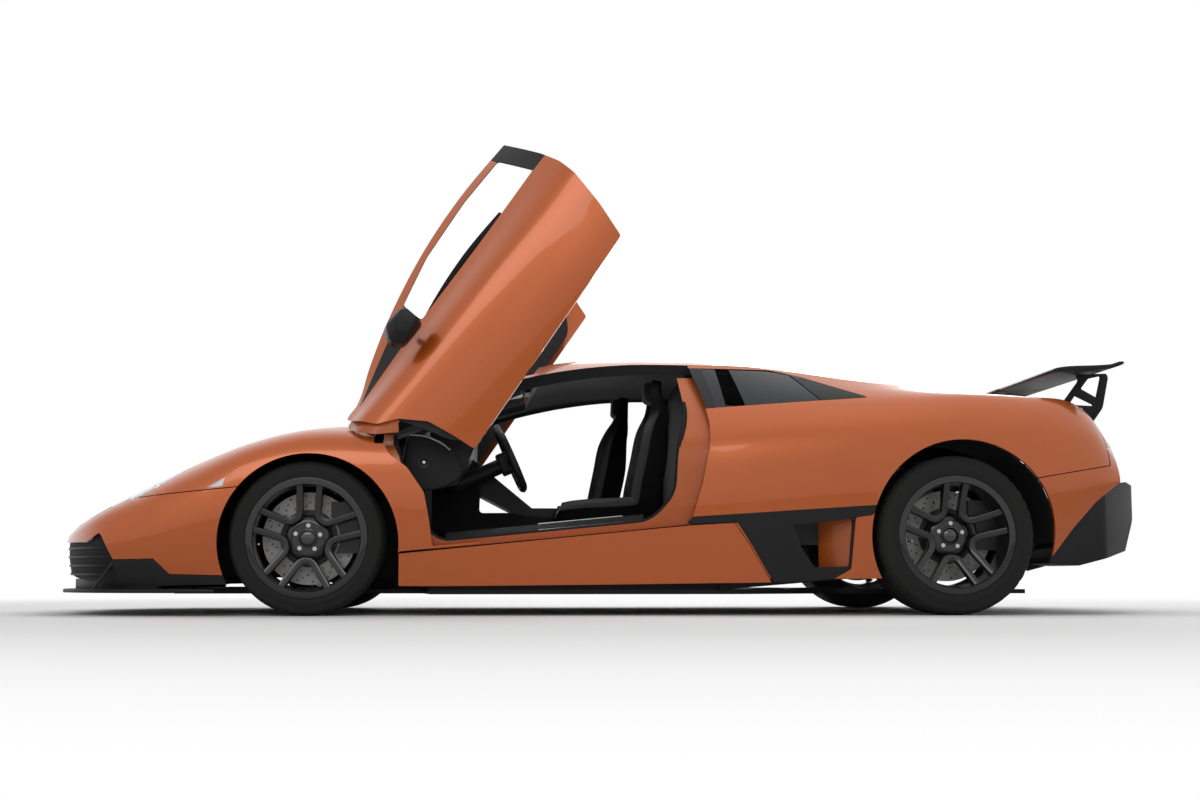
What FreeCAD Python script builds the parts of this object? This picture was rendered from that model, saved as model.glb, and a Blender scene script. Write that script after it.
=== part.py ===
# Mid-engined two-seat supercar with doors that swing up and forward, in millimetres.
# X runs from nose to tail, Y to the right-hand side of the car and Z up from the ground.
# The origin is on the ground under the middle of the car. Doors are modelled open.
import FreeCAD, Part
import math
import os
import Sketcher
from FreeCAD import Placement, Rotation, Vector

doc = FreeCAD.newDocument("supercar")
sheet = doc.addObject("Spreadsheet::Sheet", "sizes")

# Driving dimensions: name, value in millimetres or degrees
SIZES = [
    ("wheelbase", 2665.0),
    ("front_overhang", 1085.0),
    ("rear_overhang", 955.0),
    ("front_track", 1635.0),
    ("rear_track", 1695.0),
    ("front_tyre_radius", 314.3),
    ("front_tyre_width", 245.0),
    ("rear_tyre_radius", 329.1),
    ("rear_tyre_width", 335.0),
    ("rim_radius", 232.0),
    ("rim_flange_height", 13.0),
    ("rim_wall", 9.0),
    ("hub_radius", 74.0),
    ("hub_bore_radius", 32.0),
    ("spoke_width", 30.0),
    ("spoke_depth", 34.0),
    ("spoke_root_radius", 40.0),
    ("spoke_root_half_width", 40.0),
    ("spoke_tip_half_width", 88.0),
    ("spoke_crotch_radius", 100.0),
    ("spoke_start_angle", 16.0),
    ("front_rim_dish", 46.0),
    ("rear_rim_dish", 96.0),
    ("disc_radius", 190.0),
    ("disc_thickness", 34.0),
    ("disc_hat_radius", 95.0),
    ("front_arch_radius", 364.0),
    ("front_arch_rise", -22.0),
    ("rear_arch_radius", 392.0),
    ("rear_arch_rise", 4.0),
    ("arch_depth", 520.0),
    ("liner_gap", 2.0),
    ("liner_thickness", 4.0),
    ("liner_inner_half_width", 545.0),
    ("panel_gap", 0.6),
    ("lid_gap", 6.0),
    ("door_gap", 7.0),
    ("panel_wall", 32.0),
    ("pillar_wall", 42.0),
    ("lid_wall", 26.0),
    ("ledge_thickness", 10.0),
    ("lamp_depth", 80.0),
    ("glass_wall", 6.0),
    ("seat_gap", 0.3),
    ("skirt_inner", 870.0),
    ("splitter_height", 92.0),
    ("splitter_thickness", 16.0),
    ("tow_bore_radius", 11.0),
    ("plate_hole_radius", 3.0),
    ("plate_hole_spacing", 300.0),
    ("hinge_pin_radius", 10.0),
    ("post_half_width", 778.0),
    ("post_thickness", 16.0),
    ("hinge_arm_thickness", 12.0),
    ("running_clearance", 0.05),
    ("door_inner_half_width", 800.0),
    ("door_hinge_behind_axle", 177.0),
    ("door_hinge_height", 670.0),
    ("door_hinge_half_width", 820.0),
    ("door_open_angle", 50.2),
    ("door_lean_angle", 5.0),
    ("door_sweep_radius", 118.0),
    ("tray_height", 86.0),
    ("tray_thickness", 18.0),
    ("floor_thickness", 34.0),
    ("sill_half_width", 930.0),
    ("wing_span", 1500.0),
    ("wing_chord", 262.0),
    ("wing_thickness", 20.0),
    ("wing_height", 1052.0),
    ("wing_strut_half_width", 520.0),
    ("wing_strut_thickness", 14.0),
    ("steering_wheel_radius", 176.0),
    ("steering_rim_radius", 15.0),
    ("steering_boss_radius", 48.0),
    ("steering_boss_length", 60.0),
    ("steering_spoke_width", 34.0),
    ("steering_spoke_thickness", 10.0),
    ("steering_column_angle", 24.0),
    ("driver_half_width", 360.0),
    ("engine_length", 715.0),
    ("engine_width", 620.0),
    ("engine_height", 470.0),
    ("exhaust_length", 432.0),
    ("exhaust_radius", 112.0),
    ("exhaust_wall", 8.0),
    ("exhaust_height", 420.0),
    ("shaft_radius", 20.0),
    ("arm_thickness", 26.0),
]
for row, (alias, value) in enumerate(SIZES, start=1):
    sheet.set(f"A{row}", alias)
    sheet.set(f"B{row}", str(value))
    sheet.setAlias(f"B{row}", alias)
doc.recompute()


def size(alias):
    return getattr(sheet, alias)


length = size("front_overhang") + size("wheelbase") + size("rear_overhang")
front_axle_x = size("front_overhang") - length / 2
rear_axle_x = front_axle_x + size("wheelbase")
FAR = 3000.0


def from_axle(x):
    """X in the car's frame of a point that lies x behind the front axle, stretched with the wheelbase."""
    stretch = size("wheelbase") / 2665.0
    if x <= 0:
        return front_axle_x + x * size("front_overhang") / 1085.0
    if x <= 2665:
        return front_axle_x + x * stretch
    return rear_axle_x + (x - 2665) * size("rear_overhang") / 955.0


# Body sections. Columns: x behind the front axle, then half-width and height of
# the bottom edge, waist, shoulder, crest, glass foot and top edge, then the middle's height
BODY = [
    (-1062, 400, 160, 440, 235, 440, 305, 400, 336, 300, 344, 150, 348, 350),
    (-1000, 530, 135, 605, 235, 600, 332, 520, 369, 380, 378, 200, 386, 388),
    (-880, 740, 122, 812, 262, 795, 372, 615, 432, 460, 434, 240, 440, 442),
    (-680, 860, 120, 915, 300, 885, 445, 660, 531, 500, 522, 270, 526, 528),
    (-470, 905, 124, 955, 380, 915, 545, 705, 629, 540, 610, 290, 612, 614),
    (-260, 925, 128, 972, 450, 930, 645, 725, 713, 560, 686, 300, 684, 686),
    (-50, 930, 130, 980, 500, 935, 705, 730, 766, 575, 738, 320, 738, 742),
    (130, 930, 126, 978, 500, 932, 718, 745, 782, 645, 792, 350, 794, 800),
    (300, 935, 122, 975, 500, 930, 712, 815, 770, 775, 792, 440, 846, 860),
    (500, 940, 120, 972, 500, 930, 708, 822, 782, 735, 874, 460, 918, 932),
    (680, 942, 121, 972, 500, 932, 710, 826, 792, 692, 944, 450, 986, 998),
    (1000, 945, 124, 975, 500, 938, 716, 832, 806, 640, 1030, 430, 1090, 1106),
    (1300, 948, 127, 980, 502, 944, 722, 838, 822, 600, 1072, 420, 1120, 1132),
    (1600, 952, 131, 986, 505, 952, 730, 852, 848, 580, 1078, 420, 1122, 1134),
    (1900, 965, 135, 1004, 515, 975, 745, 872, 868, 575, 1072, 420, 1100, 1110),
    (2300, 980, 150, 1024, 540, 998, 765, 885, 894, 660, 1010, 430, 1042, 1050),
    (2700, 980, 160, 1029, 560, 995, 790, 885, 918, 700, 962, 440, 992, 1000),
    (3080, 950, 190, 992, 570, 945, 785, 828, 920, 710, 928, 440, 940, 946),
    (3320, 860, 330, 915, 560, 872, 745, 745, 872, 640, 880, 420, 884, 888),
    (3420, 800, 480, 862, 560, 822, 650, 745, 730, 610, 745, 420, 750, 754),
]


def section(row):
    """Half-section of the body as (y, z) points, from the bottom edge up to the middle."""
    pairs = list(zip(row[1:13:2], row[2:14:2]))
    return pairs + [(0.0, row[13])]


def inset(points, wall):
    """The closed section with every side moved inwards by the wall."""
    moved = []
    count = len(points)
    for index, (y, z) in enumerate(points):
        before = points[index - 1]
        after = points[(index + 1) % count]
        first = Vector(y - before[0], z - before[1], 0).normalize()
        second = Vector(after[0] - y, after[1] - z, 0).normalize()
        left_first = Vector(-first.y, first.x, 0)
        left_second = Vector(-second.y, second.x, 0)
        reach = wall / max(0.35, 1 + left_first.dot(left_second))
        shift = (left_first + left_second) * reach
        moved.append((y + shift.x, z + shift.y))
    return moved


def body(wall=0.0, start=-1062, end=3420):
    """The whole outer form, ruled through its sections, with every side moved in by the wall."""
    wires = []
    rows = [row for row in BODY if start <= row[0] <= end]
    for row in rows:
        half = section(row)
        points = half + [(-y, z) for y, z in reversed(half[:-1])]
        if wall:
            points = inset(points, wall)
        x = from_axle(row[0])
        if wall and row is BODY[0]:
            x += wall
        if wall and row is BODY[-1]:
            x -= wall
        corners = [Vector(x, y, z) for y, z in points]
        wires.append(Part.makePolygon(corners + corners[:1]))
    return Part.makeLoft(wires, True, True)


def edge_at(x, column):
    """Half-width of a named edge of the body at x, between its sections."""
    for first, second in zip(BODY, BODY[1:]):
        if first[0] <= x <= second[0]:
            share = (x - first[0]) / (second[0] - first[0])
            return first[column] + share * (second[column] - first[column])
    return BODY[-1][column]


GLASS_FOOT = 9
SECTION_XS = [row[0] for row in BODY]


def side_prism(points, low=0.0, high=FAR):
    """A prism along Y over an outline given as (x behind the front axle, z)."""
    corners = [Vector(from_axle(x), low, z) for x, z in points]
    face = Part.Face(Part.makePolygon(corners + corners[:1]))
    return face.extrude(Vector(0, high - low, 0))


def plan_prism(points, low=0.0, high=FAR):
    """A prism along Z over an outline given as (x behind the front axle, y)."""
    corners = [Vector(from_axle(x), y, low) for x, y in points]
    face = Part.Face(Part.makePolygon(corners + corners[:1]))
    return face.extrude(Vector(0, 0, high - low))


def front_prism(points, start, end):
    """A prism along X over an outline given as (y, z)."""
    corners = [Vector(from_axle(start), y, z) for y, z in points]
    face = Part.Face(Part.makePolygon(corners + corners[:1]))
    return face.extrude(Vector(from_axle(end) - from_axle(start), 0, 0))


def block(x0, x1, y0, y1, z0, z1):
    """A box between two X values behind the front axle, two Y and two Z."""
    corner = Vector(from_axle(x0), y0, z0)
    return Part.makeBox(from_axle(x1) - from_axle(x0), y1 - y0, z1 - z0, corner)


def tube(start, end, radius):
    return Part.makeCylinder(radius, (end - start).Length, start, end - start)


def mirror(shape):
    return shape.mirror(Vector(0, 0, 0), Vector(0, 1, 0))


def both(shape):
    return Part.makeCompound(shape.Solids + mirror(shape).Solids)


CRUMB = 20000.0


def tidy(shape):
    """The solids of a result, without crumbs."""
    solids = [solid for solid in shape.Solids if solid.Volume > CRUMB]
    return solids[0] if len(solids) == 1 else Part.makeCompound(solids)


class Length:
    """A value in millimetres together with the sheet's expression for it."""

    def __init__(self, value, text=None):
        self.value = float(value)
        self.text = f"({value:.6g})" if text is None else text

    def __add__(self, other):
        other = as_length(other)
        return Length(self.value + other.value, f"({self.text} + {other.text})")

    def __sub__(self, other):
        other = as_length(other)
        return Length(self.value - other.value, f"({self.text} - {other.text})")

    def __mul__(self, factor):
        return Length(self.value * factor, f"({self.text} * {factor})")

    def __truediv__(self, factor):
        return Length(self.value / factor, f"({self.text} / {factor})")

    def __neg__(self):
        return self * -1


def as_length(value):
    return value if isinstance(value, Length) else Length(value)


def sized(alias):
    """A size of the sheet that features can be bound to."""
    return Length(size(alias), f"sizes.{alias}")


def chord(radius, half):
    """Distance from a circle's centre to its chord of a given half-length."""
    value = math.sqrt(radius.value ** 2 - half.value ** 2)
    return Length(value, f"sqrt({radius.text} * {radius.text} - {half.text} * {half.text})")


def bound(kind, name, **lengths):
    """A primitive whose sizes follow the sheet."""
    item = doc.addObject(kind, name)
    item.Label = name
    for key, length in lengths.items():
        item.setExpression(key, length.text)
    return item


def new_body(name):
    body = doc.addObject("PartDesign::Body", name)
    body.Label = name
    return body


def origin_part(body, role):
    """A plane or axis of a body's own origin."""
    return next(item for item in body.Origin.OriginFeatures if item.Role == role)


def outline_sketch(body, name, plane, points, lift=0):
    """A closed outline on one of the body's planes, with every corner bound to the sheet."""
    item = body.newObject("Sketcher::SketchObject", f"{body.Name}_{name}_outline")
    item.AttachmentSupport = [(origin_part(body, plane), "")]
    item.MapMode = "FlatFace"
    lift = as_length(lift)
    item.AttachmentOffset = Placement(Vector(0, 0, lift.value), Rotation())
    item.setExpression(".AttachmentOffset.Base.z", lift.text)
    points = [(as_length(a), as_length(b)) for a, b in points]
    corners = [Vector(a.value, b.value, 0) for a, b in points]
    item.addGeometry([Part.LineSegment(p, q) for p, q in zip(corners, corners[1:] + corners[:1])], False)
    for line in range(len(points)):
        item.addConstraint(Sketcher.Constraint("Coincident", line, 2, (line + 1) % len(points), 1))
    for line, (across, up) in enumerate(points):
        for kind, axis, length in (("DistanceX", -2, across), ("DistanceY", -1, up)):
            if length.value == 0:
                item.addConstraint(Sketcher.Constraint("PointOnObject", line, 1, axis))
            else:
                number = item.addConstraint(Sketcher.Constraint(kind, -1, 1, line, 1, length.value))
                item.setExpression(f"Constraints[{number}]", length.text)
    return item


def turned(body, name, points, kind="Revolution"):
    """A revolution or groove about Y from (radius, y) points."""
    profile = outline_sketch(body, name, "XY_Plane", points)
    item = body.newObject(f"PartDesign::{kind}", f"{body.Name}_{name}")
    item.Profile = profile
    item.ReferenceAxis = (origin_part(body, "Y_Axis"), [""])
    item.Angle = 360
    return item


def padded(body, name, plane, points, start, length):
    """A pad over an outline, from start along +Z on the XY plane or along +Y on the XZ plane."""
    backwards = plane == "XZ_Plane"
    profile = outline_sketch(body, name, plane, points, -start if backwards else start)
    item = body.newObject("PartDesign::Pad", f"{body.Name}_{name}")
    item.Profile = profile
    item.Reversed = backwards
    item.setExpression("Length", length.text)
    return item


nodes = []


def add(name, shape, placement=None):
    """Keep a shape as a named piece of the document."""
    feature = doc.addObject("Part::Feature", name)
    feature.Label = name
    feature.Shape = shape
    if placement is not None:
        feature.Placement = placement
    nodes.append(feature)
    return feature


def add_pair(name, shape):
    """A right-hand piece and its mirror image on the left."""
    add(f"{name}_right", shape)
    add(f"{name}_left", mirror(shape))


gap = size("panel_gap") / 2
lid_gap = size("lid_gap")
seat_gap = size("seat_gap")
door_gap = size("door_gap")
outer = body()
right_half = Part.makeBox(2 * FAR, FAR, FAR, Vector(-FAR, 0, 0))


def foot_line(start, end, shift):
    """Points along the glass foot from start to end, moved sideways by shift."""
    inner = [x for x in SECTION_XS if start < x < end]
    return [(x, edge_at(x, GLASS_FOOT) + shift) for x in [start] + inner + [end]]


def outside_foot(start, end, shift):
    """Plan region outboard of the glass foot line."""
    return plan_prism(foot_line(start, end, shift) + [(end, FAR), (start, FAR)])


def inside_foot(start, end, shift):
    """Plan region inboard of the glass foot line, on both sides of the car."""
    right = foot_line(start, end, shift)
    left = [(x, -y) for x, y in reversed(right)]
    return plan_prism(right + left)


def arch(axle_x, rise, radius, axle_height):
    """The wheel well, open outwards."""
    centre = Vector(axle_x, size("arch_depth"), axle_height + rise)
    return Part.makeCylinder(radius, FAR, centre, Vector(0, 1, 0))


# Outlines seen from the side: x behind the front axle, z
DOOR_FRONT = [(262, 775), (300, 716), (334, 655), (405, 604), (476, 501), (498, 387), (511, 286)]
DOOR_REAR = [(1562, 390), (1608, 542), (1643, 708), (1649, 797), (1638, 890), (1597, 1077)]
DOOR = [(262, 1150)] + DOOR_FRONT + DOOR_REAR + [(1597, 1150)]
WINDOW = [(778, 816), (778, 932), (1000, 996), (1290, 1034), (1520, 1040), (1562, 868), (1150, 838)]
LIP = [(-1200, 60), (-1200, 150), (-900, 165), (-777, 219), (-640, 222), (-553, 161), (-254, 157), (-254, 60)]
BUMPER_SEAM = [(-1062, 345), (-880, 410), (-762, 473), (-254, 521)]
SILL_LINE = [(378, 258), (1682, 381)]
SILL_REGION = [(-300, 0), (-300, 200), (300, 200)] + SILL_LINE + [(1682, 0)]
SKIRT = [(372, 0), (372, 252), (378, 252), (1540, 366), (1790, 120), (1790, 0)]
SCOOP = [(1545, 401), (2335, 450), (2320, 400), (2250, 395), (2225, 190), (2090, 150), (1800, 126)]
DUCT = [(1975, 372), (2200, 390), (2165, 196), (2090, 200)]
QUARTER_WINDOW = [(1684, 872), (1634, 1040), (2010, 1044), (2080, 1012), (2270, 926)]
TAIL_SEAM = [(3016, 567), (3373, 628), (3480, 645)]
DIFFUSER = [(2900, 0), (2900, 215), (3060, 215), (3180, 360), (3290, 470), (3414, 553), (3700, 553), (3700, 0)]
DIFFUSER_SIDE = [(3060, 215), (3180, 360), (3290, 470), (3414, 553), (3470, 545), (3620, 530),
                 (3620, 400), (3437, 270), (3168, 208)]
DIFFUSER_TUNNEL = [(3000, 0), (3000, 175), (3700, 330), (3700, 0)]
STRAKE = [(3120, 150), (3120, 200), (3560, 320), (3560, 190), (3420, 160)]
# Door arm from the pin back into the door, and the post that holds the pin
HINGE_ARM = [(165, 652), (165, 690), (345, 712), (360, 668), (240, 640)]
HINGE_POST = [(140, 640), (140, 700), (500, 700), (500, 560), (440, 560)]
TUB_SILL = [(470, 250), (1690, 250), (1690, 392), (1560, 376), (490, 276)]
TUNNEL = [(250, 130), (250, 330), (1100, 380), (1660, 420), (1660, 130)]
DASH = [(40, 692), (150, 728), (420, 766), (640, 790), (690, 740), (650, 640), (600, 545), (420, 500),
        (270.5, 520), (270.5, 692)]
CONSOLE = [(560, 600), (660, 700), (940, 470), (1420, 470), (1420, 430), (900, 425)]
SEAT_SHELL = [(1040, 470), (1000, 400), (1100, 300), (1400, 300), (1560, 900), (1600, 1020), (1560, 1040),
              (1480, 1020), (1420, 930), (1330, 560), (1290, 480), (1180, 440)]
SEAT_WINGS = [(1010, 430), (1040, 540), (1280, 560), (1400, 900), (1480, 900), (1380, 330), (1100, 330)]
SEAT_SHOULDER = [(1400, 900), (1400, 1100), (1700, 1100), (1700, 900)]
TRUSS_OUTLINE = [(3335, 1056), (3366, 1056), (3472, 1060), (3500, 1060), (3470, 930), (3392, 838), (3362, 838),
                 (3262, 905), (3262, 920)]
TRUSS_WINDOWS = [
    [(3362, 1044), (3468, 1048), (3392, 965)],
    [(3346, 1034), (3300, 935), (3376, 950)],
    [(3478, 1030), (3405, 955), (3452, 935)],
    [(3310, 915), (3378, 868), (3378, 930)],
    [(3398, 868), (3446, 922), (3398, 935)],
]
WING_PLATE = [(3180, 1030), (3200, 1085), (3470, 1100), (3478, 1045), (3440, 985), (3350, 1010)]

# Outlines seen from above: x behind the front axle, y
LAMP = [(-850, 560), (-640, 668), (-500, 745), (-560, 810), (-700, 835), (-820, 745)]
COWL = [(118, 632), (62, 420), (10, 0)]
SCREEN_FOOT = [(24, 0), (76, 420), (132, 590)]
SCREEN_TOP = [(965, 400), (1000, 0)]
ROOF_END = [(2010, 588), (2030, 300), (2035, 0)]
LID_END = [(3060, 705), (3085, 300), (3090, 0)]
SPLITTER = [(-1085, 0), (-1085, 330), (-1050, 545), (-960, 700), (-850, 830), (-700, 905), (-400, 960),
            (-360, 960), (-380, 900), (-560, 860), (-600, 620), (-600, 0)]
DAM = [(-1036, 0), (-1036, 330), (-1004, 520), (-925, 665), (-820, 785), (-690, 856), (-600, 885)]
DAM_WALL = 26
FLOOR = [(-599.7, 0), (-599.7, 480), (460, 480), (500, 869.7), (1780, 869.7), (2250, 600), (3080, 600),
         (3080, 0)]
DIFFUSER_PLAN = [(3080, 0), (3080, 940), (3330, 905), (3535, 700), (3600, 420), (3620, 0)]
WELL = [(267, -10), (267, 415), (440, 440), (500, 760)]
FOOTWELL_WALL = [(235, 415), (235, 440), (418, 470), (470, 778), (500, 778), (440, 440)]

# Outlines seen from the front: y, z
INTAKE = [(270, 175), (300, 312), (640, 318), (790, 262), (775, 175)]
TAIL_LAMP = [(560, 640), (700, 640), (820, 600), (845, 700), (700, 716), (560, 712)]
TAIL_OPENING = [(-10, 562), (-10, 700), (545, 700), (545, 562)]

# Mirror housing. Columns: half-width on the car, front and rear x, bottom and top z
MIRROR_HEAD = [
    (895, 655, 752, 805, 876),
    (935, 628, 760, 792, 882),
    (1030, 645, 760, 786, 870),
    (1064, 682, 757, 798, 858),
]

SLOT_COUNT = 5
SLOT_START = 2130.0
SLOT_PITCH = 175.0
SLOT_LENGTH = 110.0
STRAKES = [190, 350, 510]
GRILLE_BARS = 5
GRILLE_PITCH = 28
SPOKE_COUNT = 5
BELT_HEIGHT = 770.0
# Ball joints of the uprights: distance below and above the wheel's centre, radius
BALL_DROP = 130.0
BALL_RISE = 115.0
BALL_RADIUS = 18.0
# Chassis rails by axle: first and last x behind the front axle
RAILS = {"front": (-1029.7, 234.7), "rear": (1690.3, 3059.0)}
# Wheel wells by axle: shift of the centre behind the axle, range of the liner's x, its lowest z,
# and how far its halves are drawn forwards and backwards, clear of a steered tyre
WELLS = {"front": (8.0, (-400, 329.0), 270, (28.0, 9.0)), "rear": (35.0, (2250, 3120), 300, (0.0, 0.0))}


def wheel_arch(word, axle_x):
    """Cutter of one axle's wheel opening on the right."""
    return arch(axle_x + WELLS[word][0], size(f"{word}_arch_rise"), size(f"{word}_arch_radius"),
                size(f"{word}_tyre_radius"))


front_arch = wheel_arch("front", front_axle_x)
rear_arch = wheel_arch("rear", rear_axle_x)


def grow(points, distance):
    """An outline with every side moved outwards by the distance."""
    area = sum(a[0] * b[1] - b[0] * a[1] for a, b in zip(points, points[1:] + points[:1]))
    return inset(points, -distance if area > 0 else distance)


def door_closed():
    """Right-hand door: lower shell as thick as the real door, and the window frame above it."""
    region = side_prism(DOOR).common(outside_foot(130, 1700, door_gap))
    whole = outer.common(region)
    frame_cavity = body(size("pillar_wall"), 130, 1900)
    upper = block(200, 1700, 0, FAR, BELT_HEIGHT, FAR)
    lower = block(200, 1700, 0, size("door_inner_half_width"), 0, BELT_HEIGHT)
    hollow = frame_cavity.common(upper).fuse(lower)
    window = side_prism(WINDOW)
    arm_low = size("door_hinge_half_width") - size("hinge_arm_thickness")
    arm = side_prism(HINGE_ARM, arm_low, size("door_hinge_half_width"))
    pin, knob = hinge_pin(size("running_clearance"))
    arm = arm.fuse(knob).cut(pin)
    return tidy(whole.cut(hollow).cut(window).fuse(arm))


def hinge_line(side=1):
    """A point on a door's leaning hinge axis, and its direction: side is 1 right and -1 left."""
    lean = math.radians(size("door_lean_angle"))
    axis = Vector(0, math.cos(lean), -side * math.sin(lean))
    hinge = Vector(
        from_axle(size("door_hinge_behind_axle")),
        side * size("door_hinge_half_width"),
        size("door_hinge_height"),
    )
    return hinge, axis


def hinge_pin(clearance=0.0):
    """The leaning pin of the right-hand door, and the eye round it."""
    hinge, axis = hinge_line()
    start = hinge - axis * (size("door_hinge_half_width") - size("post_half_width") + 2)
    pin = tube(start, hinge + axis * 6, size("hinge_pin_radius") + clearance)
    knob = tube(hinge - axis * 16, hinge + axis * 2, size("hinge_pin_radius") + 9)
    return pin, knob


door = door_closed()


def door_sweep():
    """Space over the rear of the right-hand fender that the front tip of the door swings through."""
    hinge, axis = hinge_line()
    start = hinge - axis * 200
    near = Part.makeCylinder(size("door_sweep_radius"), 400, start, axis)
    wide = Part.makeCylinder(2 * size("door_sweep_radius"), 400, start, axis)
    return wide.cut(near).common(block(180, 262, 700, 900, 700, 850))


def door_swing(side):
    """The turn that opens a door: side is 1 on the right and -1 on the left."""
    hinge, axis = hinge_line(side)
    turn = Rotation(axis, -size("door_open_angle"))
    return Placement(Vector(0, 0, 0), turn, hinge)


def mirror_closed():
    """Right-hand outside mirror: an arm from the window's front corner and a housing."""
    arm = tube(Vector(from_axle(700), 762, 842), Vector(from_axle(705), 930, 838), 13)
    head = []
    for y, x0, x1, z0, z1 in MIRROR_HEAD:
        corners = [(x0 + 30, z0), (x1, z0 + 4), (x1, z1 - 4), (x0 + 45, z1), (x0, (z0 + z1) / 2)]
        points = [Vector(from_axle(x), y, z) for x, z in corners]
        head.append(Part.makePolygon(points + points[:1]))
    housing = Part.makeLoft(head, True, True)
    return arm, housing


def build_doors():
    arm, housing = mirror_closed()
    outside_mirror = tidy(housing.fuse(arm).cut(outer))
    for side, word in ((1, "right"), (-1, "left")):
        swing = door_swing(side)
        for name, shape in ((f"door_{word}", door), (f"mirror_{word}", outside_mirror)):
            placed = shape.copy() if side > 0 else mirror(shape)
            add(name, placed, swing)


def build_splitter(lip):
    """Blade under the nose, the dam that carries it and the lower lip around the corners."""
    low = size("splitter_height")
    high = low + size("splitter_thickness")
    blade = plan_prism(SPLITTER, low, high)
    back = [(x + DAM_WALL, max(0, y - DAM_WALL)) for x, y in reversed(DAM)]
    dam = plan_prism(DAM + back, high - 1, 150)
    strut = side_prism([(-930, high - 1), (-880, high - 1), (-800, 190), (-838, 190)], 770, 782)
    right = blade.fuse([dam, lip, strut]).common(right_half)
    add("front_splitter", tidy(right.fuse(mirror(right)).removeSplitter()))


def ledge(start, end):
    """Lip under the edge of a lid, on which the closed lid rests."""
    strip = plan_prism(foot_line(start, end, -20) + list(reversed(foot_line(start, end, 6))))
    top = size("lid_wall") + seat_gap
    lip = body(top).cut(body(top + size("ledge_thickness"))).common(strip)
    return lip.common(block(start, end, 0, FAR, 300, FAR) if end < 1000 else block(start, end, 0, FAR, 800, FAR))


def build_front():
    """Front bumper with its intakes, splitter, grilles, fenders, bonnet and headlamps."""
    cavity = body(size("panel_wall"))
    well_end = 330
    wide_plan = foot_line(-985 - lid_gap, COWL[0][0], gap) + [(COWL[0][0], 0), (-985 - lid_gap, 0)]
    bonnet_hole = plan_prism(wide_plan, 300)
    inner_half_width = 780
    deep = cavity.common(block(-1100, well_end, 0, FAR, 0, FAR))
    jamb_cut = block(well_end, 700, 0, inner_half_width, 0, 745)
    bumper_region = side_prism([(-1200, 60)] + [(-1200, 345)] + BUMPER_SEAM + [(-254, 60)], -FAR)
    bumper_right = outer.common(bumper_region).common(right_half)
    bumper_right = bumper_right.cut(cavity).cut(front_arch)
    bumper_right = bumper_right.cut(block(-700, 0, 0, 700, 0, 700)).cut(block(-345, 0, 0, 870, 0, 230))
    lip = bumper_right.common(side_prism(LIP))
    bumper_right = bumper_right.cut(side_prism(grow(LIP, gap))).cut(bonnet_hole)
    intake = front_prism(INTAKE, -1200, -700)
    bumper_right = bumper_right.cut(intake)
    bumper = bumper_right.fuse(mirror(bumper_right))
    tow_start, tow_end = [Vector(from_axle(x), -140, 262) for x in (-1200, -900)]
    tow_bore = tube(tow_start, tow_end, size("tow_bore_radius"))
    add("front_bumper", tidy(bumper.cut(tow_bore).removeSplitter()))
    build_splitter(lip)

    seam = grow([(-1300, 50)] + [(-1300, 345)] + BUMPER_SEAM + [(-254, 50)], 2 * gap)
    fender = outer.common(outside_foot(-1062, 700, gap))
    fender = fender.cut(side_prism(seam)).cut(front_arch)
    fender = fender.cut(side_prism(grow(DOOR, door_gap)))
    fender = fender.cut(side_prism(SILL_REGION))
    fender = fender.cut(block(262, 700, 0, FAR, 700, FAR)).cut(deep).cut(jamb_cut)
    lamp_region = plan_prism(LAMP)
    lamp_depth = body(size("lamp_depth"), -1062, 130)
    lamp = outer.common(lamp_region).cut(lamp_depth).cut(side_prism(grow(seam, 2 * gap)))
    fender = fender.cut(plan_prism(grow(LAMP, seat_gap))).cut(block(140, 330, 792, 845, 620, 800))
    fender = fender.cut(block(466, 700, 0, size("skirt_inner"), 0, 420))
    fender = fender.fuse(ledge(-960, 60).cut(side_prism(seam))).cut(door_sweep())
    add_pair("front_fender", tidy(fender))
    add("headlamps", both(tidy(lamp)))

    right_plan = foot_line(-985, -120, -lid_gap) + [(-50, 567), (100, 622), (COWL[0][0], 620)]
    right_plan = right_plan + COWL[1:] + [(-985, 0)]
    bonnet = outer.common(plan_prism(right_plan)).cut(body(size("lid_wall"), -1062, 300))
    bonnet = tidy(bonnet.common(block(-1100, 200, 0, FAR, 300, FAR)))
    add("bonnet", tidy(bonnet.fuse(mirror(bonnet)).removeSplitter()))


def shifted(points, x_shift, y_shift=0.0):
    return [(x + x_shift, y + y_shift if y else 0.0) for x, y in points]


def build_greenhouse():
    """Roof with its pillars, windscreen, and the quarter windows."""
    shell = outer.cut(body(size("pillar_wall"), 130, 2300))
    region = inside_foot(130, 2010, -gap).common(block(130, 2100, -FAR, FAR, 700, FAR))
    cut_back = plan_prism(ROOF_END + [(2200, 0), (2200, 700), (2010, 700)])
    roof = shell.common(region).common(right_half).cut(cut_back)
    glass_plan = SCREEN_FOOT + foot_line(300, 930, -52) + SCREEN_TOP
    opening = plan_prism(glass_plan)
    roof = roof.cut(opening).cut(plan_prism([(-100, 0), (-100, 590)] + SCREEN_FOOT[::-1]))
    add("roof", tidy(roof.fuse(mirror(roof)).removeSplitter()))
    left_plan = [(x, -y) for x, y in reversed(glass_plan[1:-1])]
    pane = plan_prism(grow(glass_plan + left_plan, -seat_gap), 650)
    glass = outer.cut(body(size("glass_wall"), -50, 1300)).common(pane)
    add("windscreen", tidy(glass))


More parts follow.
